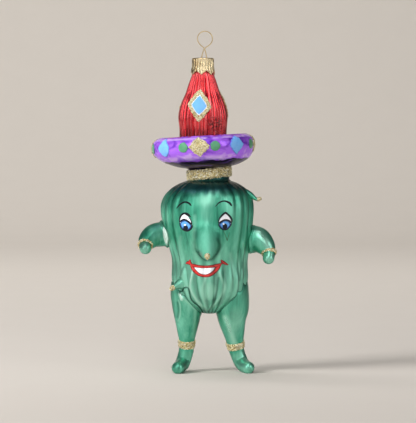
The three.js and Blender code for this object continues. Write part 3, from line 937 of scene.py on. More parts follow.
@dataclass
class Pulled:
    """A round form of changing radius along a path, with a round tip."""

    stations: Sequence[Floats]
    side: Floats
    root_depth: float = 1.0

    def __post_init__(self) -> None:
        """Fits the path and the girth."""
        self.path = Path([s[:3] for s in self.stations])
        last = len(self.stations) - 1
        self.girth = Outline([(i / last, s[3]) for i, s in enumerate(self.stations)])
        self.length = self.path.length()

    def rings(self, t: Array, out: Array | float, slices: int) -> Array:
        """Rings of points round the path.

        Args:
            t: Shares of the path.
            out: How far outside the surface, for all or for each ring.
            slices: Points in a ring.

        Returns:
            (rings, slices, 3) points.
        """
        centre, along = self.path.at(t), direction(self.path, t)
        radius = self.girth.at(t)[:, 1] + out
        return self._section(centre, along, radius, self._depth(t), slices)

    def tip(self, out: float, slices: int) -> Array:
        """The rings of the round tip, without the last point.

        Args:
            out: How far outside the surface.
            slices: Points in a ring.

        Returns:
            (rings, slices, 3) points.
        """
        turn = np.arange(1, TIP_RINGS + 1) / (TIP_RINGS + 0.3) * (math.pi / 2)
        along = np.repeat(direction(self.path, 1.0), TIP_RINGS, 0)
        radius = float(self.girth.at(1.0)[0, 1]) + out
        centre = self.path.at(1.0) + along * (radius * np.sin(turn))[:, None]
        return self._section(centre, along, radius * np.cos(turn), np.ones(TIP_RINGS), slices)

    def _depth(self, t: Array) -> Array:
        """How much deeper than wide the section is."""
        return lerp(self.root_depth, 1.0, smooth(t, 0, 0.45))

    def _section(
        self, centre: Array, along: Array, radius: Array, depth: Array, slices: int
    ) -> Array:
        """Rings about centres.

        Args:
            centre: The centres.
            along: Where the path runs at each.
            radius: Their radii.
            depth: How much deeper than wide each is.
            slices: Points in a ring.

        Returns:
            (rings, slices, 3) points.
        """
        across = unit(np.cross(np.array(self.side, float), along))
        up = np.cross(along, across)
        turn = around(slices)
        wide = (radius * depth)[:, None, None] * across[:, None, :] * np.cos(turn)[None, :, None]
        tall = radius[:, None, None] * up[:, None, :] * np.sin(turn)[None, :, None]
        return centre[:, None, :] + wide + tall

    def whole(self, slices: int, steps: int, start: float = 0.0, out: float = 0.0) -> Array:
        """All rings from a share of the path to the tip."""
        body = self.rings(np.linspace(start, 1, steps), out, slices)
        return np.vstack([body, self.tip(out, slices)])


@dataclass
class Flakes:
    """Glitter flakes scattered over a surface."""

    size: float = 0.29
    per_square: float = 8.0
    tilt: float = 0.5
    thickness: float = 0.05
    lift: float = 0.1
    seed: int = 7

    def over(self, skin: Skin, rows: slice | None) -> Extra:
        """Flakes on the faces of some rings of a skin.

        Args:
            skin: The glue's surface.
            rows: The rings to cover.

        Returns:
            Closed hexagonal flakes, each with its own "flake" value.
        """
        rng = np.random.default_rng(self.seed)
        corners = skin.grid.reshape(-1, 3)[skin.faces(rows)]
        crossed = np.cross(corners[:, 2] - corners[:, 0], corners[:, 3] - corners[:, 1])
        area = np.linalg.norm(crossed, axis=1) / 2
        if volume_of(skin.grid.reshape(-1, 3), skin.faces().tolist()) < 0:
            crossed = -crossed
        count = max(12, int(area.sum() * self.per_square))
        pick = rng.choice(len(area), count, p=area / area.sum())
        u, v = rng.random((2, count, 1))
        c = corners[pick]
        place = lerp(lerp(c[:, 0], c[:, 1], u), lerp(c[:, 3], c[:, 2], u), v)
        normal = unit(unit(crossed[pick]) + rng.normal(0, self.tilt, (count, 3)))
        place = place + unit(crossed[pick]) * (self.lift * rng.random((count, 1)))
        side = unit(np.cross(normal, rng.normal(0, 1, (count, 3))))
        other = np.cross(normal, side)
        radius = self.size * rng.uniform(0.6, 1.15, (count, 1, 1))
        turn = (np.arange(6) * math.pi / 3)[None, :, None]
        ring = radius * (np.cos(turn) * side[:, None] + np.sin(turn) * other[:, None])
        half = normal[:, None] * self.thickness / 2
        points = np.concatenate([place[:, None] + ring - half, place[:, None] + ring + half], 1)
        base = (np.arange(count) * 12)[:, None]
        walls = [(k, (k + 1) % 6, 6 + (k + 1) % 6, 6 + k) for k in range(6)]
        lids = [(5, 4, 3, 2), (5, 2, 1, 0), (6, 7, 8, 9), (6, 9, 10, 11)]
        faces = np.concatenate([base + np.array(corners) for corners in walls + lids])
        value = np.repeat(rng.uniform(0.14, 1.0, count) ** 0.9, 12)
        return Extra(points.reshape(-1, 3), faces, {"flake": value})

    def build(self, skin: Skin, name: str, rows: slice, matrix: Matrix | None = None) -> Object:
        """Makes a film of glue with glitter on it.

        Args:
            skin: The glue's surface.
            name: The piece's name.
            rows: The rings to cover.
            matrix: A sub-assembly's own frame, where it has one.

        Returns:
            The piece.
        """
        return skin.build(name, matrix, self.over(skin, rows))


def lozenge(turn: Array, power: float = 1.13) -> tuple[Array, Array]:
    """A lozenge one wide and one high each way, with slightly rounded corners."""
    c, s = np.cos(turn), np.sin(turn)
    span = (np.abs(c) ** power + np.abs(s) ** power) ** (1 / power)
    return c / span, s / span


def brushed_lozenge(turn: Array) -> tuple[Array, Array]:
    """A lozenge painted with a full brush, so that its corners run round."""
    return lozenge(turn, 1.3)


def disc(turn: Array) -> tuple[Array, Array]:
    """A circle one in radius."""
    return np.cos(turn), np.sin(turn)


@dataclass
class Patch:
    """A patch of enamel or glitter, laid on a surface by hand."""

    outline: Callable[[Array], tuple[Array, Array]]
    half_width: float
    half_height: float
    depth: float = 0.42
    wobble: float = 0.02
    lean: float = 0.0
    hole: float = 0.0
    seed: int = 1
    points: int = 96

    def skin(self, surface: Surface) -> Skin:
        """The patch on a surface.

        Args:
            surface: Gives points from how far across, up and out.

        Returns:
            The closed skin, with its field "edge".
        """
        sunk, d = -0.12, self.depth
        rim = [(1.0, sunk), (1.0, 0.25 * d), (0.985, 0.6 * d), (0.95, 0.86 * d), (0.88, d)]
        if self.hole:
            h = self.hole
            inside = [(h + 0.03, d), (h + 0.01, 0.8 * d), (h, 0.5 * d), (h, sunk)]
            stack = [*rim, (0.5 * (0.88 + h), d), *inside]
        else:
            stack = [(0.02, sunk), (0.5, sunk), *rim, (0.7, d), (0.45, d), (0.2, d), (0.02, d)]
        turn = around(self.points)
        across, up = self.outline(turn)
        rng = random.Random(self.seed)
        waves = [(k, rng.uniform(0, 2 * math.pi), rng.uniform(0.4, 1.0)) for k in (3, 5, 8, 13)]
        drawn = 1 + self.wobble * sum(g * np.sin(k * turn + p) for k, p, g in waves)
        scale, out = np.array(stack, float).T[..., None]
        wide = scale * self.half_width * across * drawn
        tall = scale * self.half_height * up * drawn + self.lean * wide
        flat = np.zeros_like(turn)
        places = surface(wide, tall, out + flat)
        return Skin(places, joined=bool(self.hole), fields={"edge": scale + flat})


@dataclass(frozen=True)
class Crease:
    """A groove, a ridge or a streak on the front of the glass, through (across, height) spots, with
    painted shade and painted highlight.
    """

    line: Sequence[Spot]
    width: float
    depth: float
    pale: float = 0.0
    dark: float = 0.0

    def mask(self, grid: Array, front: Array) -> Array:
        """1 on the line, falling to 0 beside it.

        Args:
            grid: Points of the drawing.
            front: Which of them face forward.

        Returns:
            The mask.
        """
        spots = grid[..., [0, 2]] + SHIFT[[0, 2]]
        t = np.linspace(0, 1, LINE_STEPS)
        curve = Path([(x, 0, z) for x, z in self.line]).at(t)[:, [0, 2]]
        gap = np.full(spots.shape[:-1], 1e3)
        for a, b in zip(curve, curve[1:]):
            step = b - a
            share = np.clip(((spots - a) @ step) / (step @ step), 0, 1)
            gap = np.minimum(gap, np.linalg.norm(spots - a - share[..., None] * step, axis=-1))
        return np.exp(-((gap / self.width) ** 2)) * front

    @staticmethod
    def cut(
        creases: Sequence[Crease], grid: Array, front: Array, outward: Array
    ) -> tuple[Array, Array, Array]:
        """Cuts creases into glass.

        Args:
            creases: What to cut, in order.
            grid: Points of the drawing.
            front: Which of them face forward.
            outward: The way out of the glass, at each point or everywhere.

        Returns:
            The new points, and how much painted shade and painted highlight each gets.
        """
        dark, bare = np.zeros(grid.shape[:2]), np.zeros(grid.shape[:2])
        for crease in creases:
            mask = crease.mask(grid, front)
            grid = grid - outward * (crease.depth * mask)[..., None]
            dark = np.maximum(dark, mask * crease.dark)
            bare = np.maximum(bare, mask * crease.pale)
        return grid, dark, bare


@dataclass
class Bulb:
    """Head and torso, blown in one ribbed bulb, with the pulled nose and two thorns."""

    crotch: float = 28.2
    height: float = 64.6
    torso: float = 18.5
    head: float = 22.6
    depth: float = 0.93
    neck: float = 9.8
    ribs: int = 24
    rib_depth: float = 0.75
    shifts: tuple[float, float, float] = (1.8, 0.6, 1.4)
    nose_height: float = 61.4
    nose_shift: float = -0.9
    nose_reach: float = 11.4
    nose_radius: float = 4.35
    thorn: float = 1.6
    tip: float = 0.6
    # The grooves get painted shade and the ridges and flat pale streaks a painted highlight; the
    # last is a painted shadow round the underside of the nose.
    creases: tuple[Crease, ...] = (
        Crease(((-15.3, 39.8), (-11.8, 39.9), (-11.3, 41.4), (-9.2, 41.6), (-7.3, 35.6),
               (-3.9, 32.3), (-1.8, 28.8)), 0.34, 0.75, dark=1.0),
        Crease(((20.3, 39.6), (15.8, 38.1), (12.4, 36.4), (9.1, 31.7)), 0.22, 0.3, dark=0.5),
        Crease(((5.5, 46.5), (4.6, 40.0), (2.6, 33.5), (0.6, 29.5)), 0.5, 0.4, dark=0.6),
        Crease(((-9.6, 55.0), (-12.5, 49.0), (-13.5, 44.0)), 0.5, 0.25, dark=0.3),
        Crease(((-6.6, 50.0), (-8.2, 42.2), (-5.3, 36.0), (-0.6, 31.0)), 1.0, -0.5, 0.6),
        Crease(((5.9, 49.0), (8.3, 42.2), (5.4, 36.0), (0.9, 31.0)), 1.0, -0.45, 0.45),
        Crease(((-0.9, 47.0), (-2.2, 39.8), (-0.6, 32.0)), 0.9, -0.4, 0.45),
        Crease(((11.0, 58.0), (12.2, 48.0), (11.0, 40.5)), 1.1, -0.35, 0.25),
        Crease(((-12.6, 66.0), (-13.4, 56.0), (-12.4, 48.0)), 1.3, -0.35, 0.2),
        Crease(((17.2, 63.0), (18.0, 55.0), (16.6, 47.0)), 0.7, -0.35, 0.25),
        Crease(((14.2, 58.0), (15.3, 51.0), (14.3, 43.0)), 0.6, -0.3, 0.2),
        Crease(((15.8, 60.0), (16.6, 52.0), (15.6, 45.0)), 0.45, 0.2, dark=0.45),
        Crease(((-5.9, 76.0), (-6.1, 66.0), (-5.6, 56.0)), 1.2, 0.0, 0.22),
        Crease(((-20.4, 84.0), (-21.6, 77.0), (-21.0, 70.0)), 1.2, 0.0, 0.25),
        Crease(((-18.6, 68.0), (-18.0, 56.0)), 1.2, 0.0, 0.2),
        Crease(((15.6, 74.0), (16.0, 65.0)), 1.2, 0.0, 0.15),
        Crease(((-3.9, 59.6), (-3.0, 57.0), (-1.0, 55.4), (2.8, 55.8), (5.0, 58.6), (6.1, 62.2),
               (4.8, 65.4)), 0.8, 0.0, dark=0.7),
    )

    def __post_init__(self) -> None:
        """Draws the outline."""
        profile = [(0, 0), (0.33, 0.018), (0.64, 0.075), (0.9, 0.155), (1, 0.26), (1, 0.41)]
        upper = [(1, 0.76), (0.965, 0.86), (0.83, 0.926), (0.65, 0.968)]
        points = [(r * self.torso, self.crotch + h * self.height) for r, h in profile]
        points.append((0.45 * self.torso + 0.55 * self.head, self.crotch + 0.57 * self.height))
        points += [(r * self.head, self.crotch + h * self.height) for r, h in upper]
        points.append((1.09 * self.neck, self.crotch + 0.992 * self.height))
        self.outline = Outline(points)
        self.neck_root = self.crotch + self.height
        self.tree: BVHTree | None = None
        self.fold = np.zeros(1)

    def shift(self, z: Array | float) -> Array:
        """How far sideways the bulb's axis has wandered at a height."""
        rise = (np.asarray(z, float) - self.crotch) / self.height
        torso, head, neck = self.shifts
        return lerp(lerp(torso, head, smooth(rise, 0.4, 0.75)), neck, smooth(rise, 0.78, 0.97))

    def radius(self, z: float) -> float:
        """The bulb's radius at a height."""
        return float(self.outline.offset(self.outline.where(z))[0][0])

    def surface_x(self, side: int, z: float) -> float:
        """The bulb's edge at a height."""
        return float(self.shift(z)) + side * self.radius(z)

    def crest(self, angle: Array, z: Array) -> Array:
        """Draws the ribs and dents below the outline, and keeps how deep in a fold a point is.

        Args:
            angle: The angle from the front.
            z: The height.

        Returns:
            How far out it lies, below 0 everywhere.
        """
        wander = 0.035 * np.sin(z / 10 + 1.3) + 0.022 * np.sin(z / 5.1 + 4 * angle)
        turned = angle + wander
        soft = lerp(0.14, 0.5, smooth(z, 47, 63))
        wave = np.sqrt(np.cos(self.ribs * turned / 2) ** 2 + soft**2)
        top = np.sqrt(1 + soft**2)
        fall = (top - wave) / (top - soft)
        gain = 1.0 + 0.35 * np.sin(5 * angle + 1.1) + 0.25 * np.sin(9 * angle + 2.3 + z / 14)
        calm = np.exp(-((angle / 0.62) ** 4)) * smooth(z, 53, 60) * smooth(z, 92, 84)
        chin = np.exp(-((angle / 0.9) ** 4)) * smooth(z, 54, 46)
        gain = np.clip(gain * (1 - 0.93 * calm) * (1 + 0.9 * chin), 0.04, 2.2)
        dents = 0.16 * (1 + np.sin(3 * angle + z / 9))
        dents = dents + 0.1 * (1 - calm) * (1 + np.sin(7 * angle - z / 6))
        # The fold is kept for the paint: painted shade in the valleys, painted highlight on the
        # crests.
        self.fold = (gain * fall - 0.3) * lerp(1.0, 0.3, smooth(z, 50, 66))
        return -(self.rib_depth * gain * fall + dents * smooth(z, 30, 38))

    def bulb_grid(self, slices: int = 432, rings: int = 200) -> Array:
        """Draws the bulb and its neck.

        Args:
            slices: Points in a ring.
            rings: Rings without the neck.

        Returns:
            (rings, slices, 3) points.
        """
        t = np.linspace(0.008, 1, rings)
        radius, z = self.outline.offset(t)
        radius = np.concatenate([radius, [self.neck] * 6])
        z = np.concatenate([z, self.neck_root + np.linspace(SEAM, 4.2, 6)])
        angle = around(slices)
        signed = (angle + math.pi) % (2 * math.pi) - math.pi
        rise = (z - self.crotch) / self.height
        fade = ((1 - smooth(rise, 0.93, 1.01)) * radius / self.head)[:, None]
        reach = radius[:, None] + fade * self.crest(signed[None, :], z[:, None])
        grid = lathed(reach, angle, z[:, None], self.shift(z)[:, None])
        grid[..., 1] *= lerp(self.depth, 1, smooth(rise, 0.85, 0.98))[:, None]
        return self.with_nose(grid)

    @property
    def nose_way(self) -> Array:
        """The direction in which the nose was pulled."""
        return unit(np.array([0.02, -0.853, -0.521]))

    @property
    def nose_root(self) -> Array:
        """Where the nose's axis leaves the face."""
        z = self.nose_height + 2.1
        across = float(self.shift(z)) + self.nose_shift
        return np.array([across, -self.depth * self.radius(self.nose_height), z])

    def with_nose(self, grid: Array) -> Array:
        """Pulls the nose out of the face.

        Args:
            grid: The bulb's points.

        Returns:
            The pulled points.
        """
        way = self.nose_way
        away = grid - self.nose_root
        flat = away - (away @ way)[..., None] * way
        up = np.sign(flat[..., 2]) * np.hypot(flat[..., 1], flat[..., 2]) / self.nose_radius
        across = flat[..., 0] / self.nose_radius
        end = np.exp(-0.7 * np.hypot(across, up * np.where(up > 0, 0.74, 1.0)) ** 3.2)
        bridge = 0.2 * np.exp(-((across / 2.2) ** 2) - ((up - 0.9) / 1.6) ** 2)
        pull = 1 - (1 - end) * (1 - bridge)
        pull += 0.06 * np.exp(-((np.linalg.norm(flat, axis=2) / 0.9) ** 2))
        pull *= smooth(np.hypot(across, up), 4.6, 3.4) * (grid[..., 1] < 0)
        return grid + (pull * self.nose_reach / 1.06)[..., None] * way

    def head_thorn(self) -> Pulled:
        """Draws the hooked thorn at the upper right of the head.

        Returns:
            Its form.
        """
        z, reach, forward = self.neck_root - 6.2, 4.4, 4.0
        x = self.surface_x(1, z)
        steps = [(-0.57, 0.75, -0.05, 1.1), (0.03, 1, 0.25, 0.85), (0.45, 1.2, 0.58, 0.58)]
        steps += [(0.73, 1.32, 0.72, 0.42), (1, 1.42, 0.63, 0.85 * self.tip / self.thorn)]
        stations = [
            (x + out * reach, -ahead * forward, z - down * reach, girth * self.thorn)
            for out, ahead, down, girth in steps
        ]
        return Pulled(stations, (0, 0, 1))

    def hip_thorn(self) -> Pulled:
        """Draws the short thorn at the left hip.

        Returns:
            Its form.
        """
        z, reach, turn = self.crotch + 15, 4.6, math.radians(-53)
        steps = [(-0.54, -0.1, 1.9), (0.1, 0.05, 1.35), (0.62, 0.26, 0.7)]
        steps.append((1, 0.41, self.tip / self.thorn))
        stations = []
        for out, down, girth in steps:
            radius, level = self.outline.offset(self.outline.where(z), out * reach)
            x = radius[0] * math.sin(turn) + float(self.shift(level[0]))
            y = -radius[0] * math.cos(turn) * self.depth
            stations.append((x, y, z - down * reach, girth * self.thorn))
        return Pulled(stations, (0, 0, 1))

    def build(self, material: Material) -> None:
        """Makes the body and keeps its surface for what is laid on it.

        Args:
            material: Its finish.
        """
        grid = self.bulb_grid()
        front = grid[..., 1] < 2
        grid, seam, bare = Crease.cut(self.creases, grid, front, np.array([0, -1, 0]))
        fold = np.broadcast_to(self.fold, grid.shape[:2])
        skin = Skin(grid, fields={"seam": seam, "bare": bare, "fold": fold})
        thorns = [loose_form(form.whole(40, 46)) for form in (self.head_thorn(), self.hip_thorn())]
        body = skin.build("body_glass", None, Extra.of(thorns))
        body.data.shade_smooth()
        self.tree = BVHTree.FromPolygons(grid.reshape(-1, 3).tolist(), skin.faces().tolist())
        dress(body, material, Body.GLASS, ["body_shell"])

    def on_face(self, x: Array, z: Array, out: Array) -> Array:
        """Points of the drawing laid on the front of the figure.

        Args:
            x: Across, in the row's frame.
            z: Above the floor.
            out: How far outside the glass.

        Returns:
            The points, in the drawing's frame.
        """
        shape = np.broadcast(x, z, out).shape
        flat = [np.broadcast_to(v, shape).ravel() for v in (x - SHIFT[0], z, out)]
        places = []
        for across, up, lift in zip(*flat):
            hit, normal, _, _ = self.tree.ray_cast(Vector((across, -90, up)), Vector((0, 1, 0)))
            if normal.y > 0:
                normal = -normal
            places.append(hit + normal * lift)
        return np.array(places).reshape(*shape, 3)


def loose_form(grid: Array) -> Extra:
    """Rings with both ends closed by a flat fan, as loose faces of four corners.

    Args:
        grid: (rings, slices, 3) points.

    Returns:
        The form. A corner that comes twice is one corner.
    """
    rings, slices = grid.shape[:2]
    faces = Skin(grid).faces()
    points = np.vstack([grid.reshape(-1, 3), grid[0].mean(0), grid[-1].mean(0)])
    ring = np.arange(slices)
    first = np.stack([np.roll(ring, -1), ring, np.full(slices, rings * slices)], 1)
    last = np.stack([ring, np.roll(ring, -1), np.full(slices, rings * slices + 1)], 1)
    last[:, :2] += (rings - 1) * slices
    fans = np.vstack([first, last])
    if volume_of(points, faces.tolist() + fans.tolist()) < 0:
        faces, fans = faces[:, ::-1], fans[:, ::-1]
    pad = np.concatenate([fans, fans[:, 2:]], 1)
    return Extra(points, np.vstack([faces, pad]))


@dataclass
class Limb:
    """An arm or a leg, blown by itself and fused to the bulb, with its band of glitter."""

    name: str
    form: Pulled
    band_name: str
    band_at: float
    band_length: float
    bead: float = 0.5
    creases: tuple[Crease, ...] = ()
    crescent: tuple[float, float, float] = (0.0, 1.0, 0.0)
    end_bare_and_highlight: float = 0.3
    relaxed: int = 0
    slices: int = 120
    steps: int = 190

    def build(self, bulb: Bulb, lacquer: Material, glitter: Material) -> None:
        """Makes the glass and its band.

        Args:
            bulb: What the limb is fused to.
            lacquer: The glass's finish.
            glitter: The band's finish.
        """
        grid = self.form.whole(self.slices, self.steps)
        if self.relaxed:
            grid = self.relax(grid)
        centre = grid.mean(1, keepdims=True)
        outward = unit(grid - centre)
        front = grid[..., 1] < centre[..., 1]
        gap = self.gap_to(bulb, grid)
        grid = grid + outward * (self.bead * np.exp(-(((gap - 0.75) / 0.55) ** 2)))[..., None]
        grid, dark, bare = Crease.cut(self.creases, grid, front, outward)
        # Painted shade where the limb meets the bulb, and a crescent painted as a highlight on the
        # bead.
        seam = np.maximum(dark, 0.8 * np.exp(-((gap / 0.22) ** 2)))
        low, high, wide = self.crescent
        lens = wide * np.sin(math.pi * np.clip((grid[..., 2] - low) / (high - low), 0, 1))
        bare = np.maximum(bare, smooth(gap, lens, lens - 0.5) * (lens > 0.4) * front)
        share = np.linspace(0, 1, self.steps)
        end = smooth(share, self.band_at + 0.04, self.band_at + 0.12)
        end = np.concatenate([end, np.ones(TIP_RINGS)])
        # Paler paint on the hand or foot: thin paint and painted highlight.
        bare = np.maximum(bare, self.end_bare_and_highlight * end[:, None])
        grid[..., 2] = np.maximum(grid[..., 2], 0.0)
        obj = Skin(grid, fields={"seam": seam, "bare": bare}).build(f"{self.name}_glass")
        dress(obj, lacquer, Body.GLASS, [self.name])
        self.build_band(glitter)

    def relax(self, grid: Array) -> Array:
        """Softens the bend below the band, as glass does in the flame.

        Args:
            grid: The limb's points.

        Returns:
            The softened points.
        """
        share = np.linspace(0, 1, len(grid))
        start = self.band_at + 0.03
        soft = (smooth(share, start, start + 0.1) * smooth(share, 0.97, 0.86))[:, None, None]
        for _ in range(self.relaxed):
            round_it = (np.roll(grid, 1, 1) + np.roll(grid, -1, 1)) / 2
            along = grid.copy()
            along[1:-1] = (grid[:-2] + grid[2:]) / 2
            grid = lerp(grid, (round_it + along) / 2, soft)
        return grid

    def gap_to(self, bulb: Bulb, grid: Array) -> Array:
        """Measures how far each point lies outside the bulb.

        Args:
            bulb: The bulb.
            grid: The limb's points.

        Returns:
            The distances, below 0 inside the bulb.
        """
        gap = np.full(grid.shape[:2], 9.0)
        for index in np.ndindex(*gap.shape):
            point = Vector(grid[index])
            hit, normal, _, far = bulb.tree.find_nearest(point, 5.0)
            if hit is not None:
                gap[index] = far if (point - hit).dot(normal) > 0 else -far
        return gap

    def build_band(self, glitter: Material) -> None:
        """Makes the ring of glitter.

        Args:
            glitter: The glitter's finish.
        """
        reach = self.band_length / self.form.length / 2
        across = np.linspace(-1, 1, 9)
        places = np.linspace(self.band_at - reach, self.band_at + reach, len(across))
        shares = np.concatenate([places, places[::-1]])
        rise = 0.36 * np.sqrt(np.clip(1 - np.abs(across) ** 6, 0, 1)) + 0.08
        out = np.concatenate([rise, np.full(len(across), -0.15)])
        skin = Skin(self.form.rings(shares, out, 96), joined=True)
        flakes = Flakes(seed=len(self.band_name) + int(self.band_length * 10))
        obj = flakes.build(skin, f"{self.band_name}_flakes", slice(0, len(across) - 1))
        dress(obj, glitter, Body.GLASS, [self.band_name])


@dataclass
class Limbs:
    """Both arms and both legs."""

    bulb: Bulb
    shoulder: float = 66.4
    arm_reach: float = 9.0
    upper_arm: float = 5.9
    wrist: float = 3.0
    hand: float = 2.8
    hip_spread: float = 10.8
    hip_back: float = 1.0
    thigh_rise: float = 9.5
    thigh: float = 8.1
    thigh_depth: float = 1.3
    knee: float = 4.9
    ankle: float = 3.75
    ankle_height: float = 10.0
    heel_setback: float = 4.6
    foot_length: float = 10.0
    toe: float = 3.1
    sole_cut: float = 0.45

    def arm(self, side: Side) -> Pulled:
        """The form of one arm.

        Args:
            side: Left or right.

        Returns:
            The form, from inside the shoulder to the hand.
        """
        up, wrist, hand = self.upper_arm, self.wrist, self.hand
        steps = {
            Side.LEFT: [
                (-0.78, 0, 0.02, 0.95 * up), (0.04, 0.06, -0.03, up), (0.58, 0.28, 0.06, 0.95 * up),
                (0.92, 0.61, 0.34, 0.5 * (up + wrist)), (1.01, 0.86, 0.54, wrist),
                (0.99, 1.07, 0.68, hand),
            ],
            Side.RIGHT: [
                (-0.89, 0, 0.36, 1.05 * up), (-0.07, 0, 0.25, 1.13 * up),
                (0.37, 0.18, 0.31, 1.05 * up), (0.76, 0.47, 0.67, 0.51 * (up + wrist)),
                (0.89, 0.68, 0.96, wrist), (0.86, 0.83, 1.22, hand),
            ],
        }[side]
        s, reach = side.value, self.arm_reach
        edge = self.bulb.surface_x(s, self.shoulder)
        stations = [
            (edge + s * out * reach, -forward * reach, self.shoulder - down * reach, radius)
            for out, forward, down, radius in steps
        ]
        return Pulled(stations, (0, 1, -0.5))

    def leg(self, side: Side, splay: float, toe_out: float, girth: float) -> Pulled:
        """The form of one leg.

        Args:
            side: Left or right.
            splay: How far outward the ankle stands.
            toe_out: How far outward the toe points.
            girth: The leg's thickness, as a share.

        Returns:
            The form, from inside the hip to the toe.
        """
        s, back, thigh = side.value, self.hip_back, self.thigh
        crotch, rise = self.bulb.crotch, self.thigh_rise
        hip = self.bulb.shifts[0] + s * self.hip_spread
        ankle = hip + s * splay
        forward = math.sqrt(self.foot_length**2 - toe_out**2)
        instep, heel = 0.94 * self.ankle, self.heel_setback

        def shin(share: float) -> float:
            """A height between ankle and hip."""
            return float(lerp(self.ankle_height, crotch, share))

        stations = [
            (hip, back, crotch + 1.63 * rise, 0.92 * thigh),
            (hip, back, crotch + rise, thigh),
            (hip, back, crotch + 0.27 * rise, 0.92 * thigh * girth),
            (hip, 1.4 * back, shin(0.85), 0.78 * thigh * girth),
            (lerp(hip, ankle, 0.4), 0.5 * heel, shin(0.52), self.knee * girth),
            (lerp(hip, ankle, 0.75), 0.75 * heel, shin(0.22), self.ankle * girth),
            (ankle + s * 0.04 * toe_out, 0.94 * heel, self.ankle_height, 0.97 * self.ankle),
            (ankle + s * 0.38 * toe_out, 0.9 * heel, 0.5 * self.ankle_height, self.ankle),
            (ankle + s * 0.66 * toe_out, heel - 0.42 * forward, instep - self.sole_cut, instep),
            (ankle + s * toe_out, heel - forward, self.toe - self.sole_cut, self.toe),
        ]
        return Pulled(stations, (1, 0, 0), self.thigh_depth)

    def build(self, lacquer: Material, glitter: Material) -> None:
        """Makes all four limbs and their bands.

        Args:
            lacquer: The glass's finish.
            glitter: The bands' finish.
        """
        # The legs' marks: ridges and flat pale streaks with a painted highlight, and a groove with
        # painted shade.
        left_marks = (
            Crease(((-13.6, 35.4), (-12.9, 33.2), (-12.7, 30.5), (-13.0, 27.5), (-13.9, 25.0)),
                   0.45, -0.3, 0.4),
            Crease(((-14.3, 34.2), (-13.9, 30.5), (-14.3, 27.0)), 0.5, 0.3, dark=0.5),
            Crease(((-12.9, 38.4), (-12.5, 37.2), (-12.1, 36.0)), 0.9, -0.3, 0.8),
            Crease(((-11.3, 36.8), (-9.2, 34.6), (-6.8, 32.2), (-4.6, 30.6)), 0.6, -0.3, 0.4),
            Crease(((-5.4, 31.0), (-6.0, 24.0), (-6.6, 17.0)), 1.2, 0.0, 0.3),
            Crease(((-10.4, 31.0), (-10.4, 18.0)), 1.4, 0.0, 0.12),
        )
        right_marks = (
            Crease(((11.0, 23.4), (11.4, 21.2)), 0.6, -0.25, 0.5),
            Crease(((8.6, 27.0), (11.0, 20.5), (13.2, 14.0)), 1.6, 0.0, 0.5),
        )
        # A painted highlight down the right forearm, and painted shade along the top of the left
        # arm.
        painted_forearm_highlight = Crease(((24.6, 68.4), (27.6, 64.4), (29.6, 60.6)), 2.2, 0.0, 0.5)
        top = ((-30.5, 61.5), (-28.0, 67.0), (-23.5, 70.6), (-18.0, 71.5))
        painted_arm_shade = Crease(top, 2.2, 0.0, dark=0.4)
        limbs = [
            Limb(
                "left_arm", self.arm(Side.LEFT), "left_wrist_band", 0.79, 1.7, 0.8, (painted_arm_shade,),
                crescent=(60.0, 72.0, 2.7), end_bare_and_highlight=0.35,
            ),
            Limb(
                "right_arm", self.arm(Side.RIGHT), "right_wrist_band", 0.79, 1.7, 0.3, (painted_forearm_highlight,),
                end_bare_and_highlight=0.35,
            ),
            Limb(
                "left_leg", self.leg(Side.LEFT, 0.4, 4, 0.96), "left_ankle_band", 0.57, 4.4, 0.3,
                left_marks, end_bare_and_highlight=0.15, relaxed=70,
            ),
            Limb(
                "right_leg", self.leg(Side.RIGHT, 2, 5.6, 1.08), "right_ankle_band", 0.59, 4.3,
                0.15, right_marks, end_bare_and_highlight=0.25, relaxed=70,
            ),
        ]
        for limb in limbs:
            limb.build(self.bulb, lacquer, glitter)


@dataclass
class GlitterTips:
    """Glitter on the nose's tip and on both thorns."""

    bulb: Bulb
    length: float = 1.8

    def build(self, glitter: Material) -> None:
        """Makes the three tips.

        Args:
            glitter: The glitter's finish.
        """
        bulb = self.bulb
        thorns = {"head_thorn_glitter": bulb.head_thorn(), "hip_thorn_glitter": bulb.hip_thorn()}
        for seed, (name, form) in enumerate(thorns.items(), 20):
            start = 1 - self.length / form.length
            outer = form.whole(32, 10, start, 0.28)
            inner = form.rings(np.array([start, start]), np.array([-0.2, 0.1]), 32)
            skin = Skin(np.vstack([inner, outer]))
            flakes = Flakes(size=0.24, per_square=11, seed=seed, lift=0.14)
            obj = flakes.build(skin, f"{name}_flakes", slice(1, None))
            dress(obj, glitter, Body.GLASS, [name])
        self.build_nose(glitter)

    def build_nose(self, glitter: Material) -> None:
        """Makes the drop of glitter on the nose.

        Args:
            glitter: The glitter's finish.
        """
        bulb = self.bulb
        way = bulb.nose_way
        side = unit(np.cross(way, [0, 0, 1.0]))
        up = np.cross(side, way)
        turn = around(48)
        profile = [(1.2, -0.15), (1.22, 0.08), (1.05, 0.18), (0.8, 0.24), (0.55, 0.28)]
        rows = []
        for far, out in [*profile, (0.3, 0.3), (0.1, 0.3)]:
            row = []
            for a in turn:
                drop = 1.0 + 0.75 * max(0.0, -math.sin(a)) ** 3
                spot = side * (far * math.cos(a)) + up * (far * drop * math.sin(a))
                start = bulb.nose_root + way * 30 + spot
                hit, normal, _, _ = bulb.tree.ray_cast(Vector(start), Vector(-way))
                row.append(hit + normal * (out if normal.dot(Vector(way)) > 0 else -out))
            rows.append(row)
        skin = Skin(np.array(rows))
        flakes = Flakes(size=0.2, per_square=13, seed=31, lift=0.1)
        obj = flakes.build(skin, "nose_tip_flakes", slice(1, None))
        dress(obj, glitter, Body.GLASS, ["nose_tip_glitter"])


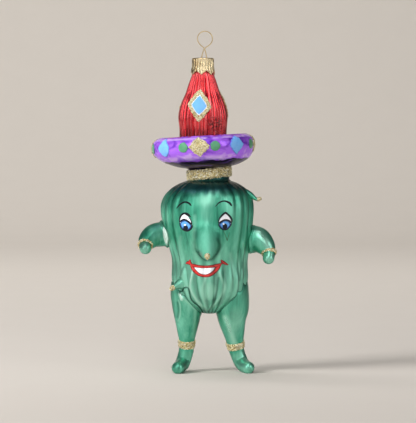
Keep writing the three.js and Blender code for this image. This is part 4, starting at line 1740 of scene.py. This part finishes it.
@dataclass
class Face:
    """The doll's face, painted in enamel on the front of the bulb, at (across, height) spots.

    Pupils and glints are (across, height, half width, half height). The black lines are the lids,
    the irises' rims and the brows. The tear is drawn under the right eye.
    """

    bulb: Bulb
    relief: float = 0.07
    whites: Sequence[Sequence[Spot]] = (
        ((-12.9, 73.0), (-12.7, 74.5), (-12.2, 75.6), (-11.5, 76.5), (-10.6, 76.9), (-9.8, 76.6),
         (-9.0, 75.8), (-8.3, 74.8), (-7.7, 73.7), (-7.3, 72.6), (-7.6, 71.2), (-9.2, 70.2),
         (-11.3, 70.3), (-12.6, 71.4)),
        ((5.6, 73.2), (6.1, 74.7), (7.0, 75.7), (8.0, 76.7), (8.6, 77.2), (9.3, 76.7), (10.2, 75.7),
         (11.0, 74.5), (11.4, 73.2), (11.0, 71.7), (9.8, 70.4), (8.2, 70.0), (6.5, 70.8),
         (5.7, 72.0)),
    )
    irises: Sequence[Sequence[Spot]] = (
        ((-12.7, 72.5), (-12.0, 73.5), (-11.2, 73.9), (-10.4, 73.95), (-9.5, 73.6), (-8.6, 73.0),
         (-7.8, 72.1), (-7.3, 71.3), (-7.7, 70.4), (-8.5, 69.7), (-9.6, 69.3), (-10.9, 69.5),
         (-12.0, 70.3), (-12.6, 71.4)),
        ((5.7, 72.3), (6.6, 73.1), (7.6, 73.8), (8.6, 74.0), (9.7, 73.8), (10.6, 73.2),
         (11.1, 72.4), (10.8, 71.4), (10.2, 70.6), (9.4, 70.0), (8.4, 69.8), (7.4, 69.9),
         (6.5, 70.6), (5.9, 71.4)),
    )
    pupils: Sequence[Floats] = ((-10.05, 70.45, 1.15, 1.25), (8.35, 71.15, 1.15, 1.4))
    glints: Sequence[Floats] = ((-10.35, 71.85, 0.5, 0.42), (7.7, 72.35, 0.42, 0.5))
    teeth: Sequence[Spot] = (
        (-6.0, 51.5), (-4.0, 51.4), (-0.9, 51.3), (1.7, 51.5), (3.5, 51.8), (2.7, 50.2),
        (0.9, 48.8), (-1.2, 48.2), (-3.3, 48.8), (-4.9, 50.1),
    )
    lines: Sequence[Stroke] = (
        ((-13.0, 72.9, 0.25), (-12.9, 74.6, 0.4), (-12.4, 76.0, 0.45), (-11.6, 76.9, 0.5),
         (-10.5, 77.3, 0.55), (-9.2, 76.8, 0.75), (-7.7, 75.6, 0.35)),
        ((-8.4, 75.3, 0.2), (-7.6, 73.9, 0.22), (-7.1, 72.4, 0.3)),
        ((-12.9, 73.0, 0.35), (-12.1, 73.8, 0.45), (-11.4, 74.2, 0.5), (-10.6, 74.3, 0.5),
         (-9.8, 74.0, 0.5), (-8.9, 73.5, 0.5), (-8.0, 72.7, 0.5), (-7.1, 71.9, 0.45)),
        ((-12.9, 73.0, 0.3), (-12.75, 71.4, 0.22), (-12.0, 70.1, 0.25), (-10.9, 69.35, 0.4),
         (-9.5, 69.1, 0.5), (-8.3, 69.5, 0.5), (-7.4, 70.5, 0.5), (-7.05, 71.9, 0.5)),
        ((5.3, 72.8, 0.25), (5.7, 74.7, 0.3), (6.8, 76.2, 0.45), (7.9, 77.2, 0.5),
         (8.6, 77.6, 0.55), (9.6, 77.0, 0.5), (10.8, 75.8, 0.5), (11.6, 74.4, 0.45),
         (11.7, 73.0, 0.3)),
        ((5.4, 72.5, 0.4), (6.5, 73.4, 0.45), (7.6, 74.0, 0.45), (8.6, 74.25, 0.45),
         (9.7, 74.1, 0.45), (10.8, 73.5, 0.45), (11.5, 72.6, 0.4)),
        ((5.4, 72.5, 0.3), (5.7, 71.4, 0.22), (6.4, 70.4, 0.22), (7.4, 69.75, 0.3),
         (8.4, 69.55, 0.35), (9.5, 69.8, 0.3), (10.4, 70.6, 0.25), (11.1, 71.6, 0.3),
         (11.5, 72.6, 0.35)),
        ((-14.6, 79.4, 0.15), (-13.6, 80.6, 0.28), (-12.3, 81.8, 0.35), (-10.5, 82.6, 0.4),
         (-8.6, 82.1, 0.5), (-7.4, 80.9, 0.4)),
        ((3.7, 80.4, 0.15), (5.3, 82.1, 0.3), (6.7, 82.9, 0.35), (8.3, 83.1, 0.4),
         (10.5, 82.2, 0.55), (11.7, 80.7, 0.45)),
    )
    lips: Sequence[Stroke] = (
        ((-8.2, 53.4, 0.5), (-6.9, 52.6, 0.9), (-5.4, 52.2, 1.0), (-3.2, 51.95, 0.9),
         (-0.9, 51.85, 0.8), (1.7, 52.05, 0.85), (4.0, 52.35, 1.0), (5.6, 52.8, 0.9),
         (7.1, 53.6, 0.5)),
        ((-8.0, 53.3, 0.5), (-6.8, 51.0, 0.9), (-5.4, 49.4, 0.95), (-3.3, 48.1, 0.9),
         (-0.9, 47.7, 0.9), (1.9, 48.4, 1.0), (4.5, 50.5, 1.05), (6.8, 53.3, 0.5)),
        ((-7.6, 52.5, 0.5), (-6.4, 51.0, 0.75), (-5.2, 49.8, 0.6), (-4.2, 49.1, 0.3)),
        ((5.9, 52.4, 0.5), (4.5, 51.1, 0.75), (3.3, 49.9, 0.6), (2.2, 49.1, 0.3)),
        ((-10.1, 53.2, 0.35), (-8.9, 53.7, 1.0), (-7.6, 53.2, 0.9)),
        ((-8.0, 55.2, 0.4), (-8.2, 54.3, 0.7), (-7.8, 53.2, 0.9)),
        ((6.5, 55.2, 0.35), (7.3, 54.2, 0.9), (8.4, 53.5, 0.8), (10.1, 52.7, 0.3)),
    )
    tear: Sequence[Stroke] = (
        ((7.7, 69.0, 0.14), (8.6, 66.9, 0.2), (9.5, 64.3, 0.26)),
        ((9.5, 64.3, 0.26), (10.0, 66.4, 0.2), (10.6, 68.4, 0.12)),
    )

    def blob(self, outline: Sequence[Spot], lift: float) -> Extra:
        """A filled shape of paint.

        Args:
            outline: Points round it.
            lift: How far its top stands off the glass.

        Returns:
            The closed form.
        """
        ring = closed_curve(outline, 72)
        middle = ring.mean(0)
        stack = [(0.02, -0.05), (0.6, -0.05), (1.0, -0.05), (1.0, 0.5 * lift), (0.96, lift)]
        stack += [(0.75, lift), (0.5, lift), (0.25, lift), (0.02, lift)]
        scale, out = np.array(stack).T[..., None]
        x = middle[0] + scale * (ring[:, 0] - middle[0])
        z = middle[1] + scale * (ring[:, 1] - middle[1])
        form = loose_form(self.bulb.on_face(x, z, out))
        form.fields = {"edge": np.append((scale + 0 * ring[:, 0]).ravel(), [0, 0])}
        return form

    def line(self, stroke: Stroke, lift: float, weight: float = 1.0) -> Extra:
        """A stroke of paint.

        Args:
            stroke: The stroke.
            lift: How far its top stands off the glass.
            weight: How full the brush is, as a share of its width.

        Returns:
            The closed form.
        """
        t = np.linspace(0, 1, LINE_STEPS)
        centre = Path([(x, 0, z) for x, z, _ in stroke]).at(t)[:, [0, 2]]
        width = Outline([(i, w) for i, (_, _, w) in enumerate(stroke)]).at(t)[:, 1]
        along = unit(np.gradient(centre, axis=0))
        across = np.stack([-along[:, 1], along[:, 0]], 1)
        half = weight * width / 2 * np.sqrt(np.clip(1 - np.abs(2 * t - 1) ** 14, 0.02, 1))
        section = [(-1, -0.05), (-1, 0.35), (-0.6, 0.9), (0, 1.0)]
        section += [(0.6, 0.9), (1, 0.35), (1, -0.05), (0, -0.05)]
        wide, out = np.array(section, float).T
        x = centre[:, :1] + across[:, :1] * half[:, None] * wide
        z = centre[:, 1:] + across[:, 1:] * half[:, None] * wide
        form = loose_form(self.bulb.on_face(x, z, np.where(out > 0, out * lift, out)))
        form.fields = {"edge": np.append((np.abs(wide) + 0 * x).ravel(), [1, 1])}
        return form

    def build(self, enamels: dict[str, Material]) -> None:
        """Makes the paint, layer over layer.

        Args:
            enamels: The finishes, by name.
        """

        def ellipse(x: float, z: float, wide: float, high: float) -> list[tuple[float, float]]:
            """Points round an ellipse."""
            turns = [k * math.pi / 8 for k in range(16)]
            return [(x + wide * math.cos(a), z + high * math.sin(a)) for a in turns]

        r = self.relief
        layers = {
            "eye_whites": ("white_enamel", [self.blob(o, r) for o in self.whites]),
            "eye_irises": ("blue_enamel", [self.blob(o, 1.8 * r) for o in self.irises]),
            "eye_pupils": ("black_enamel", [self.blob(ellipse(*p), 2.6 * r) for p in self.pupils]),
            "eye_glints": ("white_enamel", [self.blob(ellipse(*p), 3.4 * r) for p in self.glints]),
            "face_lines": ("black_enamel", [self.line(s, 3.0 * r, 1.8) for s in self.lines]),
            "tear_lines": ("navy_lacquer", [self.line(s, 1.2 * r, 1.5) for s in self.tear]),
            "teeth": ("white_enamel", [self.blob(self.teeth, 2.4 * r)]),
            "lips": ("lip_enamel", [self.line(s, 3.4 * r, 1.7) for s in self.lips]),
        }
        for name, (slot, forms) in layers.items():
            whole = Extra.of(forms)
            obj = new_object(name, placed(whole.points), whole.faces.tolist(), whole.fields)
            finish = {"tear_lines": "tear", "eye_irises": "iris"}.get(name, slot)
            dress(obj, enamels[finish], Body.GLASS)


def closed_curve(points: Sequence[Spot], count: int) -> Array:
    """Evenly numbered points of a smooth closed curve.

    Args:
        points: Points that it passes.
        count: How many to give.

    Returns:
        (count, 2) points.
    """
    p = np.array(points, float)
    n = len(p)
    place = np.linspace(0, n, count, endpoint=False)
    start = np.floor(place).astype(int)
    w = (place - start)[:, None]
    p0, p1, p2, p3 = (p[(start + k) % n] for k in (-1, 0, 1, 2))
    return spline(p1, p2, (p2 - p0) / 2, (p3 - p1) / 2, w)


@dataclass
class Hat:
    """The hat: a rounded violet brim, its glitter band and the fluted red crown."""

    bulb: Bulb
    tilt: float = math.radians(3.3)
    set_left: float = 2.1
    brim: float = 24.7
    rim: float = 20.6
    brim_height: float = 16.2
    gutter: float = 5.0
    crown: float = 11.9
    crown_base: float = 11.4
    crown_height: float = 34.3
    crown_rise: float = 1.4
    flutes: int = 36
    flute_depth: float = 0.4
    mouth: float = 4.6
    mouth_length: float = 5.4
    band_height: float = 4.3
    band_depth: float = 0.7
    band_lean: float = 0.055
    dot_turn: float = math.radians(18)
    crown_facing: float = math.radians(-9.5)
    brim_facing: float = math.radians(-4.5)
    crown_lozenges: int = 3
    lozenge_height: float = 17.5
    brim_repeats: int = 4
    row_height: float = 11.0

    def __post_init__(self) -> None:
        """Draws the outlines and places the frames."""
        b, h, n = self.brim, self.brim_height, self.bulb.neck
        self.brim_outer = Outline([
            (n, 0), (1.06 * n, 0.043 * h), (0.6 * b, 0.105 * h), (0.84 * b, 0.27 * h),
            (0.96 * b, 0.47 * h), (b, 0.68 * h), (0.96 * b, 0.88 * h), (self.rim, h),
        ])
        base = self.crown_base
        self.brim_inner = Outline([
            (self.rim, h), (0.5 * self.rim + 0.6 * base, h - 0.62 * self.gutter),
            (1.14 * base, h - self.gutter), (base, h - 0.76 * self.gutter),
        ])
        c, k = self.crown, self.crown_height
        self.crown_outline = Outline([
            (base, 0), (base, 0.17 * k), (c, 0.34 * k), (0.95 * c, 0.47 * k), (0.84 * c, 0.585 * k),
            (0.7 * c, 0.69 * k), (0.605 * c, 0.79 * k), (0.3 * c + 0.5 * self.mouth, 0.9 * k),
            (self.mouth, k),
        ])
        neck_length = self.band_height + n * math.tan(self.tilt) + SEAM
        seat = self.bulb.neck_root + neck_length
        lean = Matrix.Rotation(-self.tilt, 4, "Y")
        self.brim_frame = Matrix.Translation((self.bulb.shifts[2], 0, seat)) @ lean
        level = h - self.gutter + self.crown_rise
        centre = Vector((float(self.skew(level)), 0, level + SEAM))
        self.crown_frame = Matrix.Translation(self.brim_frame @ centre)
        self.mouth_top = self.crown_height + self.mouth_length

    def skew(self, z: Array | float) -> Array:
        """How far left of its seat the brim stands at a height."""
        return -self.set_left * smooth(z, 0, 0.55 * self.brim_height)

    def build_brim(self, material: Material) -> None:
        """Makes the brim, as one closed ring.

        Args:
            material: Its finish.
        """
        ro, zo = self.brim_outer.offset(np.linspace(0, 0.985, 130))
        ri, zi = self.brim_inner.offset(np.linspace(0.06, 1, 60))
        turn = around(320)
        radius = np.concatenate([ro, ri, [self.crown_base - 0.8, self.bulb.neck - 0.9]])
        z = np.concatenate([zo, zi, [zi[-1], 1.2]])
        inner = np.concatenate([np.linspace(0, 0.4, 130) ** 6, np.linspace(0.5, 1, 60), [1, 1]])
        wobble = 1 - 0.004 * (1 + np.sin(3 * turn + 0.5)) * smooth(z, 1, 6)[:, None]
        grid = lathed(radius[:, None] * wobble, turn, z[:, None], self.skew(z)[:, None])
        spread = np.ones_like(turn)
        fields = {"level": z[:, None] * spread, "inner": inner[:, None] * spread}
        obj = Skin(grid, joined=True, fields=fields).build("brim_glass", self.brim_frame)
        dress(obj, material, Body.GLASS, ["brim_shell"])

    def build_band(self, glitter: Material) -> None:
        """Makes the glitter band between hat and head.

        Args:
            glitter: The glitter's finish.
        """
        turn = around(160)
        across = np.linspace(0, 1, BAND_ROWS)
        bulge = 0.16 * np.sin(9 * turn + 1) * np.sin(4 * turn)
        rounded = np.clip(1 - np.abs(2 * across - 1) ** 8, 0, 1) ** 0.5
        rise = (self.band_depth - 0.12) * rounded + 0.1
        top, bottom = 0.35, -1.04 * self.band_height
        level = np.concatenate([lerp(bottom, top, across), [top, bottom]])[:, None]
        drip = np.concatenate([1 - across, [0, 1]])[:, None] * bulge * 0.5
        radius = np.concatenate([rise, np.full(2, -0.1)])[:, None] + self.bulb.neck + SEAM - 0.12
        grid = lathed(radius, turn, np.maximum(level + drip, bottom))
        grid[..., 2] += self.band_lean * grid[..., 0]
        flakes = Flakes(size=0.32, per_square=7.0, seed=3, lift=0.16, tilt=0.55)
        rows = slice(0, len(across) - 1)
        obj = flakes.build(Skin(grid, joined=True), "hat_band_flakes", rows, self.brim_frame)
        dress(obj, glitter, Body.GLASS, ["hat_band"])

    def build_crown(self, material: Material) -> None:
        """Makes the fluted crown with its open mouth.

        Args:
            material: Its finish.
        """
        t = np.linspace(0, 1, CROWN_RINGS)
        radius, z = self.crown_outline.offset(t)
        bore, top = self.mouth - 0.9, self.mouth_top
        radius = np.concatenate([radius, [self.mouth, self.mouth, bore, bore]])
        z = np.concatenate([z, [top - 0.3, top, top, self.crown_height]])
        slices = self.flutes * 12
        turn = around(slices)
        rng = random.Random(11)
        depths = np.array([rng.uniform(0.25, 1.25) for _ in range(self.flutes)])
        uneven = turn + 0.045 * np.sin(7 * turn + 1) + 0.03 * np.sin(11 * turn)
        place = uneven / (2 * math.pi) * self.flutes + 0.5
        gain = depths[np.floor(place).astype(int) % self.flutes]
        groove = 1 - np.abs(np.cos(self.flutes * uneven / 2))
        fade = 1 - smooth(z, 0.86 * self.crown_height, self.crown_height)
        ripple = 0.12 * (1 + np.sin(z[:, None] / 2.1 + 5 * turn)) * fade[:, None]
        deep = fade[:, None] * (self.flute_depth * gain * groove)[None, :]
        grid = lathed(radius[:, None] - deep * 1.7 - ripple * 0.35, turn, z[:, None])
        valley = fade[:, None] * (gain * groove)[None, :]
        obj = Skin(grid, fields={"groove": valley}).build("crown_glass", self.crown_frame)
        dress(obj, material, Body.GLASS, ["crown_shell"])

    def side_of(
        self, outline: Outline, facing: float, above: float, skewed: bool = False
    ) -> Surface:
        """A surface on the side of the crown or the brim, for patches.

        Args:
            outline: The crown's or the brim's.
            facing: The direction that it faces, as an angle from the front.
            above: The height of its middle.
            skewed: Whether it stands off its axis, as the brim does.

        Returns:
            What gives points from how far across, up and out.
        """

        def surface(across: Array, up: Array, out: Array) -> Array:
            """Points of the side.

            Args:
                across: How far across.
                up: How far up.
                out: How far out.

            Returns:
                (rings, slices, 3) points.
            """
            t = outline.where(above + up)
            seat, level = (v.reshape(t.shape) for v in outline.offset(t.ravel()))
            radius, z = (v.reshape(t.shape) for v in outline.offset(t.ravel(), out.ravel()))
            shift = self.skew(level) if skewed else 0.0
            return lathed(radius, facing + across / seat, z, shift)

        return surface

    def build_patterns(self, enamels: dict[str, Material]) -> None:
        """Makes the lozenges and dots, all round the hat.

        Args:
            enamels: The finishes, by name.
        """
        for i in range(self.crown_lozenges):
            n = i + 1
            facing = self.crown_facing + i * 2 * math.pi / self.crown_lozenges
            surface = self.side_of(self.crown_outline, facing, self.lozenge_height)
            frame = Patch(lozenge, 5.9, 7.75, 0.3, 0.012, -0.1, hole=0.66, seed=n)
            blue = Patch(lozenge, 3.95, 4.9, 0.26, 0.015, -0.1, seed=n + 10)
            for name, patch, slot in (
                ("glitter_frame", frame, "gold_glitter"),
                ("blue_lozenge", blue, "blue_enamel"),
            ):
                skin = patch.skin(surface)
                self.lay(f"crown_{name}_{n}", patch, skin, self.crown_frame, slot, enamels[slot])
        quarter = 2 * math.pi / self.brim_repeats
        for i in range(self.brim_repeats):
            n = i + 1
            gold = Patch(brushed_lozenge, 4.8, 4.25, 0.14, 0.04, seed=n + 20)
            blue = Patch(brushed_lozenge, 4.1, 4.3, 0.24, 0.035, seed=n + 30)
            dot = Patch(disc, 2.35, 2.35, 0.24, 0.02, seed=n + 40)
            for name, patch, turn, slot, finish in (
                ("glitter_lozenge", gold, 0.0, "gold_glitter", "gold_glitter"),
                ("blue_lozenge", blue, quarter / 2, "blue_enamel", "brim_blue"),
                ("left_dot", dot, -self.dot_turn, "green_enamel", "green_enamel"),
                ("right_dot", dot, self.dot_turn, "green_enamel", "green_enamel"),
            ):
                facing = self.brim_facing + i * quarter + turn
                skin = patch.skin(self.side_of(self.brim_outer, facing, self.row_height, True))
                self.lay(f"brim_{name}_{n}", patch, skin, self.brim_frame, slot, enamels[finish])

    @staticmethod
    def lay(
        node: str, patch: Patch, skin: Skin, matrix: Matrix, slot: str, material: Material
    ) -> None:
        """Makes one patch on the hat.

        Args:
            node: The CAD node that it stands for.
            patch: The patch.
            skin: The patch on its surface.
            matrix: The crown's or the brim's frame.
            slot: The record's material slot.
            material: Its finish.
        """
        extra = None
        if slot == "gold_glitter":
            flakes = Flakes(size=0.26, per_square=11, lift=0.05, tilt=0.4, seed=patch.seed)
            skin.fields = {}
            extra = flakes.over(skin, slice(1, 9) if patch.hole else slice(3, None))
        obj = skin.build(f"{node}_paint", matrix, extra)
        dress(obj, material, Body.GLASS, [node])


@dataclass
class Hanger:
    """The stamped metal cap and the sprung wire loop."""

    hat: Hat
    sheet: float = 0.35
    height: float = 8.1
    teeth: int = 7
    tooth_depth: float = 1.9
    tooth_turn: float = math.radians(-8)
    flare: float = 0.5
    flutes_per_tooth: int = 3
    wire: float = 0.56
    clearance: float = 0.4
    edge: float = 0.42
    holes: tuple[float, float] = (-0.9, 1.9)
    leg_spread: float = 2.9
    leg_length: float = 9.3
    crossing: tuple[float, float] = (0.67, 4.4)
    crossing_gap: float = 0.34
    loop: float = 3.6
    loop_centre: tuple[float, float] = (0.96, 9.2)

    def __post_init__(self) -> None:
        """Places the frame, on top of the cap."""
        top = self.hat.mouth_top + SEAM + self.sheet
        self.frame = self.hat.crown_frame @ Matrix.Translation((0, 0, top))

    def build_cap(self, material: Material) -> None:
        """Makes the crimped cap with its zigzag skirt and two holes.

        Args:
            material: Its finish.
        """
        bore = self.hat.mouth + SEAM
        outer = bore + self.sheet
        slices = self.teeth * 60
        turn = around(slices)
        drop = np.linspace(0, 1, CAP_RINGS)
        edge, skirt = self.edge, self.height - self.edge
        top = [(0.3, 0.0), (2.2, 0.0), (bore - 0.9, -0.02), (bore - 0.3, 0.0)]
        top += [(bore, -0.05), (bore + 0.25, -0.22)]
        wall = [(outer + self.flare * smooth(d, 0.45, 1), -edge - skirt * d) for d in drop]
        lining = [(r - self.sheet, z) for r, z in reversed(wall)]
        lining += [(bore - 0.05, -self.sheet), (0.3, -self.sheet)]
        stack = top + wall + lining
        radius, z = (row[:, None] + 0 * turn for row in np.array(stack, float).T)
        level = np.clip((-z - edge) / skirt, 0, 1)
        tooth = (self.teeth * (turn - self.tooth_turn) / (2 * math.pi)) % 1
        bite = self.tooth_depth * (1 - np.abs(2 * tooth - 1)) ** 0.9
        z = z + bite * smooth(level, 0.35, 1.0) * (z < -0.4)
        ridges = self.teeth * self.flutes_per_tooth
        wave = np.abs(np.cos(ridges * (turn - self.tooth_turn) / 2 + 0.5 * np.sin(z / 1.1)))
        crinkle = 0.5 * np.sin(11 * turn + 2.3 * z) + 0.5 * np.sin(17 * turn - 1.7 * z + 1)
        on_wall = smooth(-z, 0.3, 1.2)
        pleats = 0.32 * (1 - wave) ** 1.1 + 0.05 * (1 + crinkle)
        grid = lathed(radius - on_wall * pleats + 0.1 * on_wall, turn, z)
        obj = Skin(grid).build("hanger_cap_sheet", self.frame)
        for k, across in enumerate(self.holes):
            self.drill(obj, across, k)
        obj.data.shade_smooth()
        dress(obj, material, Body.CAP, ["hanger_cap"])

    def drill(self, cap: Object, across: float, number: int) -> None:
        """Cuts one wire hole through the cap's top.

        Args:
            cap: The cap.
            across: Where the hole is.
            number: The hole's number.
        """
        turn = around(40)
        r = self.wire / 2 + self.clearance
        ring = np.stack([across + r * np.cos(turn), r * np.sin(turn), np.zeros(40)], 1)
        grid = np.stack([ring + [0, 0, -1], ring + [0, 0, 1]])
        tool = Skin(grid).build(f"drill_{number}", self.frame)
        cut = cap.modifiers.new("hole", "BOOLEAN")
        cut.operation = "DIFFERENCE"
        cut.solver = "EXACT"
        cut.object = tool
        with bpy.context.temp_override(object=cap, active_object=cap):
            bpy.ops.object.modifier_apply(modifier=cut.name)
        bpy.data.objects.remove(tool)

    def build_wire(self, material: Material) -> None:
        """Makes the loop of sprung wire with its two crossed legs.

        Args:
            material: Its finish.
        """
        gap = (self.wire + self.crossing_gap) / 2
        across, high = self.crossing

        def leg(hole: float, side: int) -> list[tuple[float, float, float]]:
            """One leg of the wire.

            Args:
                hole: Where its hole is.
                side: -1 on the left, 1 on the right.

            Returns:
                Points from its end inside the mouth to the crossing.
            """
            return [
                (side * self.leg_spread, 0, -self.leg_length),
                (side * self.leg_spread, 0, -0.6 * self.leg_length),
                (side * 0.92 * self.leg_spread, 0, -0.35 * self.leg_length),
                (hole, 0, -self.sheet / 2),
                (across, -side * gap, high),
            ]

        turns = np.radians(np.linspace(-46, 226, 9))
        lean = np.linspace(gap, -gap, 9)
        cx, cz = self.loop_centre
        loop = self.loop
        ring = [(cx + loop * math.cos(a), y, cz + loop * math.sin(a)) for a, y in zip(turns, lean)]
        points = [*leg(self.holes[0], -1), *ring, *reversed(leg(self.holes[1], 1))]
        form = Pulled([(*p, 0.42 * self.wire) for p in points], (0, 1, 0))
        grid = form.rings(np.linspace(0, 1, WIRE_RINGS), 0.0, 20)
        obj = Skin(grid).build("hanger_spring_wire", self.frame)
        dress(obj, material, Body.HANGER, ["hanger_wire"])


def hang(data: bpy.types.Light | bpy.types.Camera, place: Floats, aim: Floats) -> Object:
    """Puts a light or a camera into the scene, turned to where it aims.

    Args:
        data: The light or the camera.
        place: Where it hangs.
        aim: What it aims at.

    Returns:
        Its object.
    """
    obj = bpy.data.objects.new(data.name, data)
    obj.location = place
    obj.rotation_euler = (Vector(aim) - Vector(place)).to_track_quat("-Z", "Y").to_euler()
    bpy.context.scene.collection.objects.link(obj)
    return obj


@dataclass(frozen=True)
class Softbox:
    """One rectangular light, which the glass mirrors or, flagged off, doesn't."""

    name: str
    place: tuple[float, float, float]
    size: tuple[float, float]
    watts: float
    mirrored: bool = True
    aim: tuple[float, float, float] = (0.0, 0.0, 0.1)
    spread: float = 180.0
    tint: tuple[float, float, float] = (1.0, 0.99, 0.97)

    def build(self) -> None:
        """Hangs the light."""
        data = bpy.data.lights.new(self.name, "AREA")
        data.shape = "RECTANGLE"
        data.size, data.size_y = self.size
        data.energy = self.watts
        data.spread = math.radians(self.spread)
        data.color = self.tint
        hang(data, self.place, self.aim).visible_glossy = self.mirrored


@dataclass
class Studio:
    """Paper, lights and camera."""

    camera_back: float = 1.0
    camera_height: float = 0.114
    camera_across: float = 0.00042
    aim_height: float = 0.0775
    lens: float = 177.3
    air: float = 0.09
    beyond: Colour = paint(206, 198, 189)
    softboxes: tuple[Softbox, ...] = (
        Softbox("key_softbox", (-0.95, -0.52, 0.62), (0.4, 0.48), 5.9, False, (0, 0, 0.03), 110.0),
        Softbox("front_softbox", (0.0, -1.25, 1.2), (0.6, 1.1), 5.4),
        Softbox("broad_softbox", (0.0, -1.7, 0.3), (2.4, 0.9), 2.6),
        Softbox("backdrop_softbox", (-0.8, 0.5, 1.7), (2.0, 0.5), 19.0, False, (-0.4, 1.8, 0.2)),
        Softbox("fill_softbox", (0.5, -1.3, 0.25), (0.5, 0.4), 2.4, False, (0, 0, 0.08)),
        Softbox("left_strip", (-0.86, -1.25, 0.62), (0.55, 1.1), 4.0),
        Softbox("right_strip", (1.15, -1.05, 0.62), (0.3, 1.1), 2.5),
        Softbox("left_softbox", (-1.1, -0.55, 0.4), (0.35, 0.8), 0.3),
        Softbox("right_softbox", (1.1, -0.5, 0.4), (0.35, 0.8), 1.2),
        Softbox("top_softbox", (-0.1, -0.3, 1.5), (1.0, 0.8), 2.8),
    )

    def build(self, paper: Material) -> None:
        """Makes the paper, the lights and the camera.

        Args:
            paper: The paper's finish.
        """
        self.build_paper(paper)
        self.build_camera()
        for softbox in self.softboxes:
            softbox.build()
        self.build_air()

    def build_air(self) -> None:
        """Makes the dim room, which looks as pale as the paper where the camera sees past it."""
        world = bpy.data.worlds.new("studio_air")
        world.use_nodes = True
        tree = world.node_tree
        dim = tree.nodes["Background"]
        dim.inputs["Color"].default_value = (0.86, 0.85, 0.83, 1)
        dim.inputs["Strength"].default_value = self.air
        seen = tree.nodes.new("ShaderNodeBackground")
        seen.inputs["Color"].default_value = self.beyond
        choice = tree.nodes.new("ShaderNodeMixShader")
        rays = tree.nodes.new("ShaderNodeLightPath")
        tree.links.new(rays.outputs["Is Camera Ray"], choice.inputs[0])
        tree.links.new(dim.outputs[0], choice.inputs[1])
        tree.links.new(seen.outputs[0], choice.inputs[2])
        tree.links.new(choice.outputs[0], tree.nodes["World Output"].inputs["Surface"])
        bpy.context.scene.world = world

    def build_paper(self, material: Material) -> None:
        """Makes one seamless sheet: a floor that curves up into a wall.

        Args:
            material: Its finish.
        """
        bend, floor_end, wall_top = 0.7, 1.9, 2.6
        turns = np.linspace(-math.pi / 2, 0, 24)
        start = floor_end - bend
        profile = [(-2.2, 0.0), (0.0, 0.0), (start, 0.0)]
        profile += [(start + bend * math.cos(a), bend + bend * math.sin(a)) for a in turns]
        profile.append((floor_end, wall_top))
        xs = np.linspace(-1.15, 1.15, 30)
        points = np.array([(x, y, z) for y, z in profile for x in xs])
        n = len(xs)
        faces = [
            (i * n + j, i * n + j + 1, (i + 1) * n + j + 1, (i + 1) * n + j)
            for i in range(len(profile) - 1)
            for j in range(n - 1)
        ]
        obj = new_object("studio_paper", points, faces)
        obj.data.materials.append(material)

    def build_camera(self) -> None:
        """Makes the camera at the photograph's viewpoint."""
        data = bpy.data.cameras.new("camera")
        data.lens = self.lens
        data.sensor_width = 36.0
        data.clip_start = 0.01
        data.clip_end = 20.0
        plane = SHIFT[1] * METRE
        place = (self.camera_across, plane - self.camera_back, self.camera_height)
        aim = (self.camera_across, plane, self.aim_height)
        bpy.context.scene.camera = hang(data, place, aim)


def finishes() -> dict[str, Material]:
    """Makes every finish on the ornament.

    Returns:
        The materials, by name.
    """
    white, blue = paint(246, 247, 252), paint(104, 168, 236)
    looks = {
        "body": PearlLacquer("satin_pearl_green", 0.38, 0.45),
        "limb": PearlLacquer("glossy_pearl_green", 0.35, 0.15),
        "red_lacquer": CrownLacquer(),
        "purple_lacquer": BrimLacquer(),
        "gold_glitter": Glitter(),
        "blue_enamel": Enamel("sky_blue_enamel", blue, paint(88, 148, 224), white, 0.85),
        "iris": Enamel(
            "iris_blue_enamel", paint(98, 166, 236), paint(62, 128, 214), paint(22, 50, 110), 0.9,
            rim_from=0.74,
        ),
        "brim_blue": Enamel(
            "brushed_blue_enamel", paint(118, 180, 242), paint(92, 154, 232), paint(70, 60, 190),
            0.5,
        ),
        "green_enamel": Enamel(
            "green_enamel", paint(88, 152, 116), paint(70, 132, 98), paint(60, 100, 92), 0.5
        ),
        "white_enamel": Enamel(
            "white_enamel", white, paint(216, 222, 236), paint(190, 200, 214), 0.4
        ),
        "black_enamel": Enamel(
            "black_enamel", paint(8, 14, 24), paint(16, 24, 34), paint(12, 26, 30), 0.5,
            roughness=0.36, gloss=0.02,
        ),
        "lip_enamel": Enamel(
            "lip_red_enamel", paint(196, 48, 42), paint(176, 36, 34), paint(96, 22, 28), 0.85,
            roughness=0.3, rim_from=0.4,
        ),
        "tear": Enamel(
            "tear_wash", paint(52, 106, 78), paint(62, 120, 92), paint(60, 112, 88), 0.5
        ),
        "cap_metal": GiltMetal("gilt_cap", paint(255, 236, 194), paint(226, 184, 120), 0.24, 0.2),
        "hanger_wire": GiltMetal(
            "gilt_wire", paint(238, 214, 168), paint(206, 172, 118), 0.34, 0.01
        ),
        "paper": StudioPaper(),
    }
    return {name: finish.make() for name, finish in looks.items()}


def main() -> None:
    """Builds the ornament and its studio."""
    logging.basicConfig(level=logging.INFO, format="%(name)s: %(message)s")
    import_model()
    bpy.context.scene.view_settings.view_transform = "Standard"
    looks = finishes()
    bulb = Bulb()
    bulb.build(looks["body"])
    Limbs(bulb).build(looks["limb"], looks["gold_glitter"])
    GlitterTips(bulb).build(looks["gold_glitter"])
    Face(bulb).build(looks)
    hat = Hat(bulb)
    hat.build_brim(looks["purple_lacquer"])
    hat.build_band(looks["gold_glitter"])
    hat.build_crown(looks["red_lacquer"])
    hat.build_patterns(looks)
    hanger = Hanger(hat)
    hanger.build_cap(looks["cap_metal"])
    hanger.build_wire(looks["hanger_wire"])
    Studio().build(looks["paper"])


if __name__ == "__main__":
    main()
